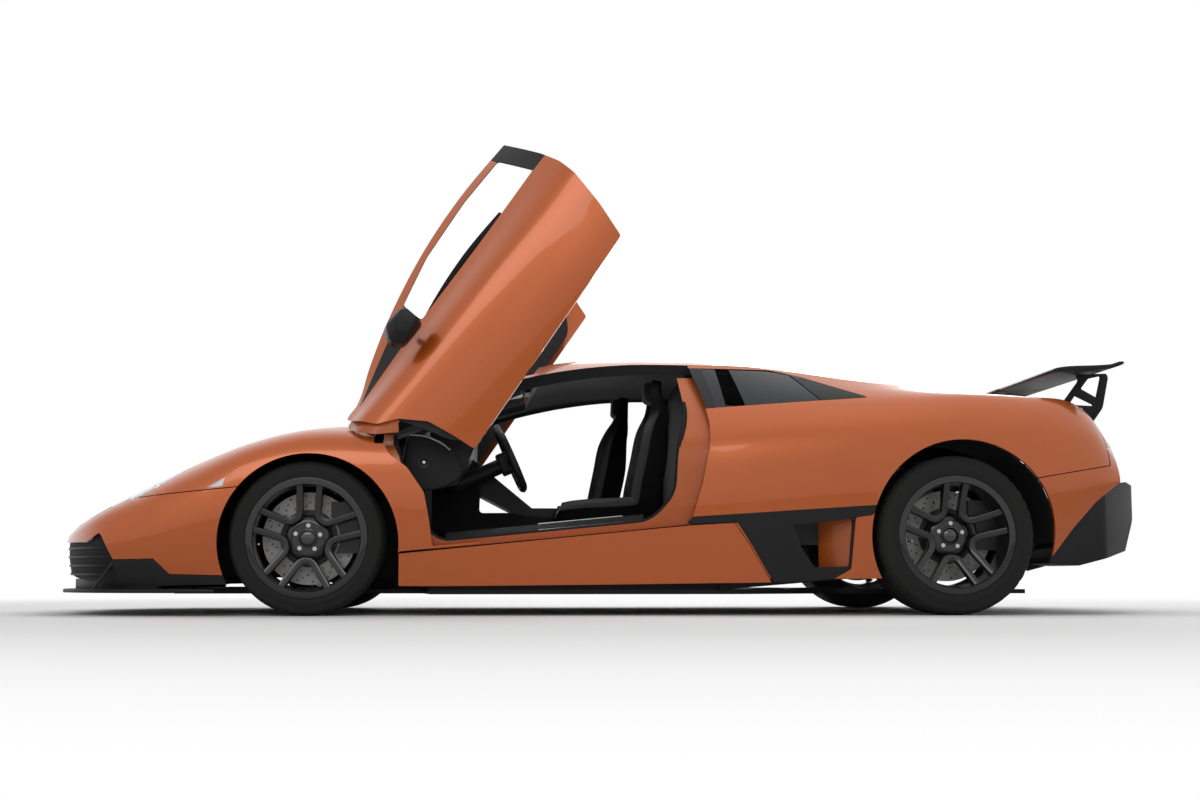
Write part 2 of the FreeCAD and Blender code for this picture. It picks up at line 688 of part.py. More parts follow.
def build_sides():
    """Rear quarters with the scoop, quarter windows and side skirts."""
    cavity = body(size("panel_wall"))
    region = outside_foot(1560, 3420, gap)
    quarter = outer.common(region)
    quarter = quarter.cut(side_prism(grow(DOOR, door_gap))).cut(side_prism(grow(SILL_REGION, gap)))
    quarter = quarter.cut(side_prism([(1500, 0), (1500, 150), (3600, 150), (3600, 0)]))
    tail = TAIL_SEAM + [(3480, 0), (2900, 0), (2900, 567)]
    quarter = quarter.cut(side_prism(grow(tail, gap))).cut(rear_arch)
    quarter = quarter.cut(block(TAIL_SEAM[1][0] - 2 * gap, 3500, 0, FAR, 0, FAR))
    quarter = quarter.cut(side_prism(grow(SKIRT, gap))).cut(block(1500, 1695, 0, size("skirt_inner"), 0, 395))
    hollow = cavity.common(block(1700, 3500, 0, FAR, 0, FAR))
    quarter = quarter.cut(hollow).cut(block(1500, 1700, 0, 800, 0, 790))
    upper_cavity = body(size("pillar_wall"), 1300, 2300).common(block(1500, 1700, 0, FAR, 790, FAR))
    quarter = quarter.cut(upper_cavity)
    scoop_hole = side_prism(grow(SCOOP, seat_gap), 780)
    quarter = quarter.cut(scoop_hole).cut(side_prism(QUARTER_WINDOW, 500))
    quarter = quarter.fuse(ledge(2025, 3060))
    quarter = quarter.cut(front_prism(grow(TAIL_LAMP, seat_gap), 3300, 3600))
    add_pair("rear_quarter", tidy(quarter))

    scoop = outer.common(side_prism(SCOOP, 800)).cut(body(60.0, 1300, 2700)).cut(rear_arch)
    scoop = scoop.cut(side_prism(DUCT)).cut(side_prism(grow(SKIRT, gap))).cut(side_prism(grow(DOOR, door_gap)))
    add("side_scoops", both(tidy(scoop)))

    glass = outer.cut(body(size("glass_wall"), 1300, 2700))
    glass = glass.common(side_prism(grow(QUARTER_WINDOW, -seat_gap), 500)).common(region)
    add("quarter_windows", both(tidy(glass)))

    skirt = outer.common(side_prism(SKIRT)).cut(block(-300, 2000, 0, size("skirt_inner"), 0, FAR))
    skirt = skirt.cut(front_arch)
    add("side_skirts", both(tidy(skirt)))


def build_tail():
    """Engine lid with its slots, and the rear fascia."""
    cavity = body(size("panel_wall"))
    lid_plan = shifted(list(reversed(ROOF_END)), lid_gap)
    lid_plan = lid_plan + foot_line(2100, LID_END[0][0], -lid_gap) + LID_END[1:]
    lid = outer.cut(body(size("lid_wall"), 1600, 3420)).common(plan_prism(lid_plan))
    lid = lid.common(right_half).common(block(1900, 3400, 0, FAR, 800, FAR))
    for index in range(SLOT_COUNT):
        start = SLOT_START + index * SLOT_PITCH
        end = start + SLOT_LENGTH
        slot = [(start, 0), (end, 0), (end, 400), (start + 40, 440), (start, 440)]
        lid = lid.cut(plan_prism([(x, y - (10 if y == 0 else 0)) for x, y in slot]))
    add("engine_lid", tidy(lid.fuse(mirror(lid)).removeSplitter()))

    fascia_side = side_prism(TAIL_SEAM[:2] + [(3380, 640), (3380, 1000), (3480, 1000), (3480, 0), (2900, 0)])
    deck_start = shifted(LID_END, lid_gap)
    top = outer.common(plan_prism(deck_start + [(3380, 0), (3380, 720), (3060, 720)]))
    top = top.common(inside_foot(3000, 3380, -gap))
    fascia = outer.common(fascia_side).fuse(top).common(right_half)
    fascia = fascia.cut(cavity).cut(rear_arch).cut(side_prism(grow(DIFFUSER, gap), -10))
    fascia = fascia.cut(front_prism(grow(TAIL_LAMP, seat_gap), 3300, 3600))
    fascia = fascia.cut(plan_prism([(2900, 0), (2900, 900), (3070, 900), (3070, 0)], 0, 560))
    fascia = fascia.cut(front_prism(TAIL_OPENING, 3300, 3600))
    fascia = fascia.fuse(block(3400, 3412, 0, 260, 554, 715))
    fascia = fascia.fuse(mirror(fascia))
    for side in (-1, 1):
        y = side * size("plate_hole_spacing") / 2
        hole = tube(Vector(from_axle(3300), y, 650), Vector(from_axle(3500), y, 650), size("plate_hole_radius"))
        fascia = fascia.cut(hole)
    add("rear_fascia", tidy(fascia.removeSplitter()))


def build_aero():
    """Diffuser with its strakes, tail lamps, grilles and wing."""
    plan = plan_prism(DIFFUSER_PLAN, 0, 700)
    lower = plan.common(side_prism(DIFFUSER_SIDE))
    lower = lower.cut(side_prism(DIFFUSER_TUNNEL, 0, 600)).cut(rear_arch)
    for y in STRAKES:
        lower = lower.fuse(side_prism(STRAKE, y - 5, y + 5))
    height = size("exhaust_height")
    outlet = tube(Vector(from_axle(3170), 0, height), Vector(from_axle(3700), 0, height),
                  size("exhaust_radius") + seat_gap)
    lower = lower.fuse(mirror(lower)).cut(outlet)
    add("rear_diffuser", tidy(lower.removeSplitter()))

    lamp = front_prism(TAIL_LAMP, 3330, 3500).common(outer)
    lamp = lamp.cut(body(70.0, 2700, 3420))
    add("tail_lamps", both(tidy(lamp)))

    bars = []
    for index in range(GRILLE_BARS):
        z = 190 + index * GRILLE_PITCH
        bar = block(-985, -960, 260, 800, z, z + 7)
        bars.append(bar.common(front_prism(INTAKE, -1200, -700)))
    post = block(-985, -960, 520, 532, 175, 315)
    front_grille = bars[0].fuse(bars[1:] + [post])
    back = 3388 - seat_gap
    rear_grille = block(back - 8, back, 0, 556, 556, 712).cut(block(back - 9, back + 1, -1, 545, 562, 700))
    rear_bars = [block(back - 8, back, 0, 546, 580 + i * 24, 586 + i * 24) for i in range(5)]
    rear_posts = [block(back - 8, back, y, y + 6, 560, 702) for y in (0, 180, 360)]
    rear_grille = rear_grille.fuse(rear_bars + rear_posts)
    rear_grille = rear_grille.fuse(mirror(rear_grille))
    grilles = both(front_grille).Solids + rear_grille.Solids
    add("grilles", Part.makeCompound(grilles))

    half_span = size("wing_span") / 2
    nose_x = 3185
    tail_x = nose_x + size("wing_chord")
    low = size("wing_height")
    high = low + size("wing_thickness")
    wing = side_prism([(nose_x, low - 6), (nose_x, low + 4), (3260, high - 4), (tail_x, high + 4),
                       (tail_x + 8, high + 22), (tail_x + 14, high - 2), (3300, low)], 0, half_span)
    plate = side_prism(WING_PLATE, half_span - 8, half_span)
    thick = size("wing_strut_thickness")
    centre = size("wing_strut_half_width")
    truss = side_prism(TRUSS_OUTLINE, centre - thick / 2, centre + thick / 2).cut(outer)
    for window in TRUSS_WINDOWS:
        truss = truss.cut(side_prism(window))
    wing = wing.fuse([plate, truss])
    add("rear_wing", tidy(wing.fuse(mirror(wing)).removeSplitter()))


def build_tub():
    """Cabin floor, inner sills, tunnel and bulkheads as one open tub."""
    low = size("tray_height") + size("tray_thickness") + size("seat_gap")
    floor = low + size("floor_thickness")
    sill_half = size("sill_half_width")
    side = size("skirt_inner") - seat_gap
    outline = [(235, 0), (235, 440), (420, 470), (470, 800), (500, side), (1690, side), (1690, 0)]
    tub = plan_prism(outline, low, 262).fuse(side_prism(TUB_SILL, 720, side))
    well = plan_prism(WELL + [(1640, 760), (1640, -10)], floor, 1200)
    tub = tub.cut(well)
    walls = [
        side_prism([(235, 250), (235, 690), (267, 690), (267, 250)], 0, 440),
        plan_prism(FOOTWELL_WALL, 250, 700),
        block(1650, 1690, 0, 790, 250, 1200).common(body(size("pillar_wall") + seat_gap, 1300, 2300)),
        side_prism(TUNNEL, 0, 130),
    ]
    post = size("post_half_width")
    walls.append(side_prism(HINGE_POST, post - size("post_thickness"), post))
    walls.append(hinge_pin()[0])
    tub = tub.fuse(walls)
    tub = tub.fuse(mirror(tub)).removeSplitter()
    add("cabin_tub", tidy(tub))


def wheel_centre():
    return Vector(from_axle(840), -size("driver_half_width"), 668)


def column_axis():
    """Direction from the steering wheel towards the driver."""
    angle = math.radians(90 - size("steering_column_angle"))
    return Vector(math.sin(angle), 0, math.cos(angle))


def build_cabin():
    """Dashboard with its console, seats and steering wheel."""
    dash = side_prism(DASH, 0, 700)
    dash = dash.fuse(side_prism(CONSOLE, 0, 125)).fuse(block(280, 640, 0, 125, 420, 620))
    inner = grow(WELL + [(1640, 760), (1640, -10)], -seat_gap)
    dash = dash.cut(plan_prism([(300, 404), (300, 900), (432, 900), (432, 430)]))
    inside = plan_prism([(30, 0), (30, 404)] + inner[2:4] + [(1640, 760), (1640, 0)])
    dash = dash.cut(block(-100, 300, 404, 900, 0, 1000)).common(inside)
    normal = column_axis()
    column_end = wheel_centre() - normal * (58 + size("seat_gap"))
    column = tube(column_end - normal * 230, column_end, 34)
    add("dashboard", tidy(dash.fuse(mirror(dash)).fuse(column).removeSplitter()))

    shell = side_prism(SEAT_SHELL, 150, 580)
    narrow = side_prism(SEAT_SHOULDER, 150, 275)
    other = side_prism(SEAT_SHOULDER, 455, 580)
    floor = size("tray_height") + size("tray_thickness") + size("floor_thickness") + 2 * seat_gap
    base = block(1060, 1400, 200, 530, floor, 302)
    seat = shell.cut(narrow).cut(other).fuse(base)
    wings = side_prism(SEAT_WINGS, 150, 580).cut(block(1000, 1600, 205, 525, 300, 1100))
    seat = seat.fuse(wings)
    add_pair("seat", tidy(seat))


def build_steering_wheel():
    """Rim, boss and three spokes, on the leaning column."""
    radius, rim_radius = sized("steering_wheel_radius"), sized("steering_rim_radius")
    rim = bound("Part::Torus", "steering_rim", Radius1=radius - rim_radius, Radius2=rim_radius)
    boss = bound("Part::Cylinder", "steering_boss", Radius=sized("steering_boss_radius"),
                 Height=sized("steering_boss_length"))
    boss.Placement = Placement(Vector(0, 0, 2 - size("steering_boss_length")), Rotation())
    spokes = []
    for angle in (0, 180, 270):
        spoke = bound("Part::Box", f"steering_spoke_{angle}", Length=radius - rim_radius,
                      Width=sized("steering_spoke_width"), Height=sized("steering_spoke_thickness"))
        corner = Vector(0, -size("steering_spoke_width") / 2, -size("steering_spoke_thickness") / 2)
        turn = Rotation(Vector(0, 0, 1), angle)
        spoke.Placement = Placement(turn.multVec(corner), turn)
        spokes.append(spoke)
    wheel = doc.addObject("Part::MultiFuse", "steering_wheel")
    wheel.Label = "steering_wheel"
    wheel.Shapes = [rim, boss] + spokes
    tilt = Rotation(Vector(0, 1, 0), 90 - size("steering_column_angle"))
    wheel.Placement = Placement(wheel_centre(), tilt)
    nodes.append(wheel)


def tyre(name, width, radius):
    """Low-profile tyre seated on the rim's outside."""
    body = new_body(name)
    half, radius = sized(width) / 2, sized(radius)
    seat = sized("rim_radius") + sized("seat_gap")
    side = radius - seat
    bead = half - 11 - sized("panel_gap") / 2
    flange = sized("rim_radius") + sized("rim_flange_height") + sized("seat_gap")
    right = [
        (seat, bead), (flange, bead), (flange + 2, half - 3), (seat + side * 0.5, half),
        (seat + side * 0.8, half - 6), (radius - 4, half - 22), (radius, half - 45),
    ]
    turned(body, "carcass", right + [(r, -y) for r, y in reversed(right)])
    return body


def rim(name, width, dish):
    """Barrel, dished double spokes and hub. The outside face points along +Y."""
    body = new_body(name)
    half = sized(width) / 2 - 10
    radius, wall, depth = sized("rim_radius"), sized("rim_wall"), sized("spoke_depth")
    inner = radius - wall
    flange = radius + sized("rim_flange_height")
    turned(body, "barrel", [
        (inner, -half - 4), (flange, -half - 4), (flange, -half + 1), (radius, -half + 1), (radius, half - 1),
        (flange, half - 1), (flange, half + 4), (inner - 6, half + 4), (inner - 6, half - 14),
        (inner - 2, half - 26), (inner, half - 60),
    ])
    face = half - sized(dish)
    low = face - depth
    spoke = padded(body, "double_spoke", "XZ_Plane", spoke_outline(radius - wall / 2), low, half - 8 - low)
    pattern = body.newObject("PartDesign::PolarPattern", f"{name}_spokes")
    pattern.Originals = [spoke]
    pattern.Axis = (origin_part(body, "Y_Axis"), [""])
    pattern.Angle = 360
    pattern.Occurrences = SPOKE_COUNT
    body.Tip = pattern
    front = [(0, face - 4), (inner - 6, half - 8), (inner - 6, half + 20), (0, half + 20)]
    turned(body, "face_dish", front, "Groove")
    back = [(0, low), (inner - 3, half - 8 - depth), (inner - 3, low - 1), (0, low - 1)]
    turned(body, "back_dish", back, "Groove")
    bore, hub = sized("hub_bore_radius"), sized("hub_radius")
    turned(body, "hub", [(bore, face - 46), (hub, face - 46), (hub, face - 8), (hub - 16, face), (bore, face)])
    return body


def spoke_outline(reach):
    """One double spoke seen from outside: two arms that meet in a loop near the hub."""
    root, tip = sized("spoke_root_half_width"), sized("spoke_tip_half_width")
    slim = tip - sized("spoke_width")
    start, crotch = sized("spoke_root_radius"), sized("spoke_crotch_radius")
    upper = [(crotch, 12), (crotch + 6, 21), (crotch + 18, 27), (chord(reach, slim), slim), (chord(reach, tip), tip),
             (start, root)]
    return upper + [(x, -as_length(z)) for x, z in reversed(upper)]


def disc_face(width, dish):
    """Distance of the disc's outer face from the wheel's middle plane."""
    return sized(width) / 2 - 10 - sized(dish) - 46 - 26


def brake_disc(name, width, dish):
    """Disc with the hat that seats against the hub."""
    body = new_body(name)
    face = disc_face(width, dish)
    thick, hat = sized("disc_thickness"), sized("disc_hat_radius")
    seat = face + 26 - sized("seat_gap")
    bore = sized("hub_bore_radius") + 1
    turned(body, "disc", [(62, face - thick), (sized("disc_radius"), face - thick), (sized("disc_radius"), face),
                          (hat, face), (hat, seat), (bore, seat), (bore, face + 16), (hat - 10, face + 16),
                          (hat - 10, face), (62, face)])
    return body


def knuckle(face_y):
    """Upright with its stub axle and the brake caliper over the disc's rear edge."""
    thick = size("disc_thickness")
    across = Vector(0, 1, 0)
    stub = Part.makeCylinder(size("hub_bore_radius") - seat_gap, 150, Vector(0, face_y - thick - 60, 0), across)
    low = -BALL_DROP + BALL_RADIUS + size("seat_gap")
    high = BALL_RISE - BALL_RADIUS - size("seat_gap")
    upright = Part.makeBox(84, 34, high - low, Vector(-42, face_y - thick - 62, low))
    kingpin = Part.makeCylinder(22, high - low, Vector(0, face_y - thick - 45, low))
    upright = upright.fuse(kingpin)
    reach = size("disc_radius")
    caliper = Part.makeCylinder(reach + 28, thick + 56, Vector(0, face_y - thick - 28, 0), across)
    slot = Part.makeCylinder(reach + 8, thick + 14, Vector(0, face_y - thick - 7, 0), across)
    hole = Part.makeCylinder(reach - 62, 400, Vector(0, -300, 0), across)
    sector = Part.makeBox(260, 400, 210, Vector(90, -300, -60))
    caliper = caliper.cut(slot).cut(hole).common(sector)
    bracket = Part.makeBox(170, 20, 60, Vector(20, face_y - thick - 48, -10))
    return stub.fuse([upright, caliper, bracket])


def build_wheels():
    """Tyres, rims, discs and uprights on both axles, and the arms and shafts that carry them."""
    start = Rotation(Vector(0, 1, 0), -size("spoke_start_angle"))
    for word, x in (("front", front_axle_x), ("rear", rear_axle_x)):
        width, dish, radius = f"{word}_tyre_width", f"{word}_rim_dish", f"{word}_tyre_radius"
        half_track = size(f"{word}_track") / 2
        face_y = disc_face(width, dish).value
        hub = knuckle(face_y)
        for side, hand in ((1, "right"), (-1, "left")):
            wheel = [tyre(f"tyre_{word}_{hand}", width, radius), rim(f"rim_{word}_{hand}", width, dish),
                     brake_disc(f"disc_{word}_{hand}", width, dish)]
            outwards = Rotation(Vector(0, 0, 1), 90 - 90 * side)
            centre = Vector(x, side * half_track, size(radius))
            for piece in wheel:
                piece.Placement = Placement(centre, outwards * start)
                nodes.append(piece)
            if word == "front":
                placed = hub.copy() if side > 0 else mirror(hub)
                add(f"knuckle_{hand}", placed, Placement(centre, Rotation()))
        inner_y = half_track + face_y - size("disc_thickness") - 62
        build_arms(word, x, size(radius), inner_y, hub, half_track)


def build_arms(word, x, radius, inner_y, hub, half_track):
    """Lower and upper arms from the chassis to the uprights, and the rear drive shafts."""
    thick = size("arm_thickness")
    arms = []
    for z, chassis_y in ((radius - BALL_DROP, 330), (radius + BALL_RISE, 330)):
        tip = Vector(x, inner_y + 17, z)
        for reach in (-190, 190):
            arms.append(tube(Vector(x + reach, chassis_y, z + 8), tip, thick / 2))
        arms.append(Part.makeSphere(BALL_RADIUS, tip))
    beam = Part.makeBox(460, 100, 330, Vector(x - 230, 240, radius - 160))
    start, end = RAILS[word]
    rail = block(start, end, 190, 250, 200, 300 - seat_gap)
    right = arms[0].fuse(arms[1:] + [beam, rail])
    if word == "rear":
        shaft = tube(Vector(x, 100, radius), Vector(x, inner_y + 10, radius), size("shaft_radius"))
        placed = hub.copy()
        placed.translate(Vector(x, half_track, radius))
        right = right.fuse([shaft, placed])
    cross = Part.makeBox(200, 500, 60, Vector(x - 100, -250, radius - 160))
    axle = right.fuse(mirror(right)).fuse(cross)
    add(f"{word}_axle", tidy(axle))


def well_form(centre, radius, reach):
    """Space of one wheel well: a cylinder across the car, drawn out forwards and backwards."""
    across = Vector(0, 1, 0)
    ahead, behind = reach
    if not ahead + behind:
        return Part.makeCylinder(radius, 500, centre, across)
    front, rear = centre - Vector(ahead, 0, 0), centre + Vector(behind, 0, 0)
    middle = Part.makeBox(ahead + behind, 500, radius, front)
    return middle.fuse([Part.makeCylinder(radius, 500, end, across) for end in (front, rear)])


def build_liners():
    """Liners round the wheel wells, inside the skin."""
    skin = body(size("panel_wall") + seat_gap)
    liners = []
    for word, axle_x in (("front", front_axle_x), ("rear", rear_axle_x)):
        shift, (start, end), lowest, reach = WELLS[word]
        inner = size(f"{word}_arch_radius") + size("liner_gap")
        centre = Vector(axle_x + shift, size("liner_inner_half_width"),
                        size(f"{word}_tyre_radius") + size(f"{word}_arch_rise"))
        band = well_form(centre, inner + size("liner_thickness"), reach).cut(well_form(centre, inner, reach))
        band = band.common(block(start, end, 0, FAR, lowest, FAR)).common(skin)
        band = band.cut(side_prism(grow(HINGE_POST, 2), size("post_half_width") - size("post_thickness") - 2))
        liners += band.cut(side_prism(grow(SCOOP, 2), 780)).Solids
    liners += [mirror(liner) for liner in liners]
    add("wheel_liners", Part.makeCompound(liners))


def build_undertray():
    """Flat floor panel, one half padded and then mirrored."""
    body = new_body("undertray")
    plan = [(from_axle(x), y) for x, y in FLOOR]
    half = padded(body, "half", "XY_Plane", plan, sized("tray_height"), sized("tray_thickness"))
    other = body.newObject("PartDesign::Mirrored", "undertray_other_half")
    other.Originals = [half]
    other.MirrorPlane = (origin_part(body, "XZ_Plane"), [""])
    body.Tip = other
    nodes.append(body)


def build_exhaust():
    """Round tailpipe, closed at the front."""
    radius = sized("exhaust_radius")
    length = sized("exhaust_length")
    pipe = bound("Part::Cylinder", "exhaust_pipe", Radius=radius, Height=length)
    bore = bound("Part::Cylinder", "exhaust_bore", Radius=radius - sized("exhaust_wall"), Height=length)
    bore.Placement = Placement(Vector(0, 0, 50), Rotation())
    exhaust = doc.addObject("Part::Cut", "exhaust")
    exhaust.Label = "exhaust"
    exhaust.Base = pipe
    exhaust.Tool = bore
    backwards = Rotation(Vector(0, 1, 0), 90)
    exhaust.Placement = Placement(Vector(from_axle(3180), 0, size("exhaust_height")), backwards)
    nodes.append(exhaust)


def build_engine():
    """One plain block ahead of the rear axle."""
    engine = bound("Part::Box", "engine", Length=sized("engine_length"), Width=sized("engine_width"),
                   Height=sized("engine_height"))
    engine.Placement = Placement(Vector(from_axle(1700), -size("engine_width") / 2, 300), Rotation())
    nodes.append(engine)


build_doors()
build_front()
build_greenhouse()
build_sides()
build_tail()
build_aero()
build_tub()
build_cabin()
build_steering_wheel()
build_wheels()
build_liners()
build_undertray()
build_exhaust()
build_engine()
doc.recompute()

os.makedirs("parts", exist_ok=True)
for node in nodes:
    shape = node.Shape
    faults = [word for word in node.State if word in ("Invalid", "Error")]
    if faults or shape.isNull() or not shape.isValid():
        raise RuntimeError(f"{node.Label} did not build: {faults}")
    shape.exportStep(f"parts/{node.Label}.step")
    print(node.Label, len(shape.Solids), round(shape.Volume / 1e6, 2))
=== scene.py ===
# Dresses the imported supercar: smooth body panels, glass, wheels, cabin, lamps, paint and light.
# Tables are in millimetres, with X from the front axle, like the model's own tables.
import math
import bmesh
import bpy
from mathutils import Matrix, Vector


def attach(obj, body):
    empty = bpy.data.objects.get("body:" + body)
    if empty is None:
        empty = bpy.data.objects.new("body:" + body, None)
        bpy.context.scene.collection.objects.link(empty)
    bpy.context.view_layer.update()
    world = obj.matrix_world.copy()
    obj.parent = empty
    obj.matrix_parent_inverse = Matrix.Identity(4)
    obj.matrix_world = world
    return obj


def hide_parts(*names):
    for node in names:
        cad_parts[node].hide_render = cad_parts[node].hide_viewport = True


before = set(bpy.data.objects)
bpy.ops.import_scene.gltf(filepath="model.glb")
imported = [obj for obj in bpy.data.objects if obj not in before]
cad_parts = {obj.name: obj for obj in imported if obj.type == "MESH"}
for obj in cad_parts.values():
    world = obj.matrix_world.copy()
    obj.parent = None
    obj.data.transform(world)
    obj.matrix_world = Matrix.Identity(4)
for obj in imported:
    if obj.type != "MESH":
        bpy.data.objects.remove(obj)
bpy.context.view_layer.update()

MM = 0.001
AXLE_X = -1.2675
WHEELBASE = 2.665
SEAM = 0.004
FAR = 3.0
STATION_STEP = 0.03
SHEET = 0.02
CORNER = 0.012
DOOR_PLATE = 0.030
JAMB_DEPTH = 0.036
DOOR_LEAN = 5.0
DOOR_TURN = -50.2
HINGE = (177, 820, 670)
AMBIENT = 0.45
FLOOR_COLOUR = (0.70, 0.70, 0.70, 1)
FLOOR_REACH = 60.0
FADE_START = 2.6
FADE_END = 6.5
CAMERA_PLACE = (AXLE_X + 0.673, -7.77, 0.157)
CAMERA_TILT = 6.06
CAMERA_TURN = -4.34
WHEEL_TURN = 16.0
WELL_DEPTHS = (0.52, 1.32)
PAINTED = ("paint", "lining")
BLACK = ("satin_black",)
BEAD_RADIUS = 232.3
FRONT_TYRE = {"radius": 314.3, "width": 245.0, "half_track": 817.5, "dish": 46.0}
REAR_TYRE = {"radius": 329.1, "width": 335.0, "half_track": 847.5, "dish": 96.0}

# Body sections. Columns: x behind the front axle, then half-width and height of
# the bottom edge, waist, shoulder, crest, glass foot and top edge, then the middle's height
BODY = [
    (-1062, 400, 160, 440, 235, 440, 305, 400, 336, 300, 344, 150, 348, 350),
    (-1000, 530, 135, 605, 235, 600, 332, 520, 369, 380, 378, 200, 386, 388),
    (-880, 740, 122, 812, 262, 795, 372, 615, 432, 460, 434, 240, 440, 442),
    (-680, 860, 120, 915, 300, 885, 445, 660, 531, 500, 522, 270, 526, 528),
    (-470, 905, 124, 955, 380, 915, 545, 705, 629, 540, 610, 290, 612, 614),
    (-260, 925, 128, 972, 450, 930, 645, 725, 713, 560, 686, 300, 684, 686),
    (-50, 930, 130, 980, 500, 935, 705, 730, 766, 575, 738, 320, 738, 742),
    (130, 930, 126, 978, 500, 932, 718, 745, 782, 645, 792, 350, 794, 800),
    (300, 935, 122, 975, 500, 930, 712, 815, 770, 775, 792, 440, 846, 860),
    (500, 940, 120, 972, 500, 930, 708, 822, 782, 735, 874, 460, 918, 932),
    (680, 942, 121, 972, 500, 932, 710, 826, 792, 692, 944, 450, 986, 998),
    (1000, 945, 124, 975, 500, 938, 716, 832, 806, 640, 1030, 430, 1090, 1106),
    (1300, 948, 127, 980, 502, 944, 722, 838, 822, 600, 1072, 420, 1120, 1132),
    (1600, 952, 131, 986, 505, 952, 730, 852, 848, 580, 1078, 420, 1122, 1134),
    (1900, 965, 135, 1004, 515, 975, 745, 872, 868, 575, 1072, 420, 1100, 1110),
    (2300, 980, 150, 1024, 540, 998, 765, 885, 894, 660, 1010, 430, 1042, 1050),
    (2700, 980, 160, 1029, 560, 995, 790, 885, 918, 700, 962, 440, 992, 1000),
    (3080, 950, 190, 992, 570, 945, 785, 828, 920, 710, 928, 440, 940, 946),
    (3320, 860, 330, 915, 560, 872, 745, 745, 872, 640, 880, 420, 884, 888),
    (3420, 800, 480, 862, 560, 822, 650, 745, 730, 610, 745, 420, 750, 754),
]
# How smooth a section is at each named edge: 0 is a corner and 1 a full curve
ROUNDNESS = (0.0, 0.9, 0.9, 0.75, 0.3, 0.8, 1.0)
PER_SPAN = (6, 7, 7, 7, 6, 6)
GLASS_FOOT = 8

# Outlines seen from the side: x, z
DOOR = [(262, 1150), (262, 775), (300, 716), (334, 655), (405, 604), (476, 501), (498, 387), (511, 286),
    (1562, 390), (1608, 542), (1643, 708), (1649, 797), (1638, 890), (1597, 1077), (1597, 1150)]
WINDOW = [(778, 816), (778, 932), (1000, 996), (1290, 1034), (1520, 1040), (1562, 868), (1150, 838)]
DOOR_BAND = [(1500, 1150), (1512, 1036), (1562, 866), (1700, 870), (1700, 1150)]
DOOR_SAIL = [(330, 775), (780, 818), (780, 929)]
APERTURE = [(343, 783), (363, 655), (434, 470), (464, 368), (538, 299), (1402, 383), (1506, 495),
    (1518, 683), (1565, 833), (1540, 1200), (343, 1200)]
HINGE_ARM = [(165, 652), (165, 690), (345, 712), (360, 668), (240, 640)]
BUMPER_SEAM = [(-1062, 345), (-880, 410), (-762, 473), (-254, 521)]
LIP = [(-1200, 60), (-1200, 172), (-905, 172), (-780, 226), (-612, 229), (-548, 167), (-254, 160),
    (-254, 60)]
SILL = [(-300, 0), (-300, 200), (300, 200), (378, 258), (1682, 381), (1682, 0)]
SKIRT = [(372, 0), (372, 252), (378, 252), (1562, 368), (1742, 378), (1806, 286), (1905, 120), (1905, 0)]
SCOOP = [(1545, 399), (2335, 450), (2310, 412), (2238, 402), (2222, 190), (2150, 150), (1910, 126),
    (1814, 290), (1754, 381), (1560, 372)]
DUCT = [(1985, 369), (2232, 396), (2216, 200), (2072, 196), (2020, 270)]
QUARTER_WINDOW = [(1560, 856), (1560, 1064), (1960, 1058), (2085, 1024), (2340, 914)]
QUARTER_PILLAR = [(1500, 800), (1500, 1100), (1652, 1100), (1700, 800)]
QUARTER_BAR = [(1734, 800), (1716, 1100), (1772, 1100), (1826, 800)]
QUARTER_LOUVRE = [(1985, 1100), (2045, 1030), (2160, 860), (2400, 860), (2400, 1100)]
TAIL_SEAM = [(3016, 567), (3373, 628), (3480, 645)]
DIFFUSER = [(2900, 0), (2900, 215), (3060, 215), (3180, 360), (3290, 470), (3414, 553), (3700, 553),
    (3700, 0)]
DIFFUSER_FORM = [(3060, 215), (3180, 360), (3290, 470), (3414, 556), (3490, 566), (3590, 534), (3470, 268),
    (3205, 204)]
INTAKE_SIDE = [(-1200, 60), (-1200, 306), (-905, 300), (-845, 335), (-833, 326), (-778, 226), (-880, 60)]
DOOR_LIP = [(262, 775), (300, 716), (334, 655), (405, 604), (364, 568), (300, 632), (255, 698), (230, 764)]
WING_TRUSS = [(3360, 1060), (3505, 1066), (3512, 1048), (3483, 910), (3434, 843), (3412, 858), (3391, 872),
    (3327, 912), (3289, 916), (3378, 1034)]
TRUSS_WINDOWS = [
    [(3420, 1042), (3475, 1054), (3478, 1048), (3456, 956), (3384, 996)],
    [(3357, 965), (3440, 925), (3437, 919), (3328, 924)], [(3394, 881), (3414, 883), (3412, 868)]]
WING_SECTION = [(3185, 1046), (3192, 1060), (3260, 1070), (3360, 1074), (3440, 1080), (3478, 1092),
    (3500, 1090), (3490, 1078), (3440, 1062), (3360, 1052), (3260, 1048)]
COLUMN_SIDE = [(320, 345), (325, 745), (470, 745), (583, 704), (704, 556), (700, 447), (835, 448),
    (945, 431), (1070, 424), (1070, 366)]
KICK = [(404, 747), (469, 741), (538, 712), (595, 666), (622, 598), (608, 564), (554, 534), (492, 519),
    (430, 521), (387, 613)]
MARKER = [(-402, 516), (-326, 558), (-338, 520)]
# Outlines seen from above: x, y
DIFFUSER_PLAN = [(3050, -20), (3050, 945), (3330, 908), (3535, 700), (3598, 420), (3610, -20)]
LAMP = [(-850, 560), (-640, 668), (-500, 745), (-560, 810), (-700, 835), (-820, 745)]
SPLITTER = [(-1085, 0), (-1085, 330), (-1050, 545), (-960, 700), (-850, 830), (-700, 905), (-400, 960),
    (-360, 960), (-380, 900), (-560, 860), (-600, 620), (-600, 0)]
DAM = [(-1036, 0), (-1036, 330), (-1004, 520), (-925, 665), (-820, 785), (-690, 856), (-600, 885)]
DAM_WALL = 26
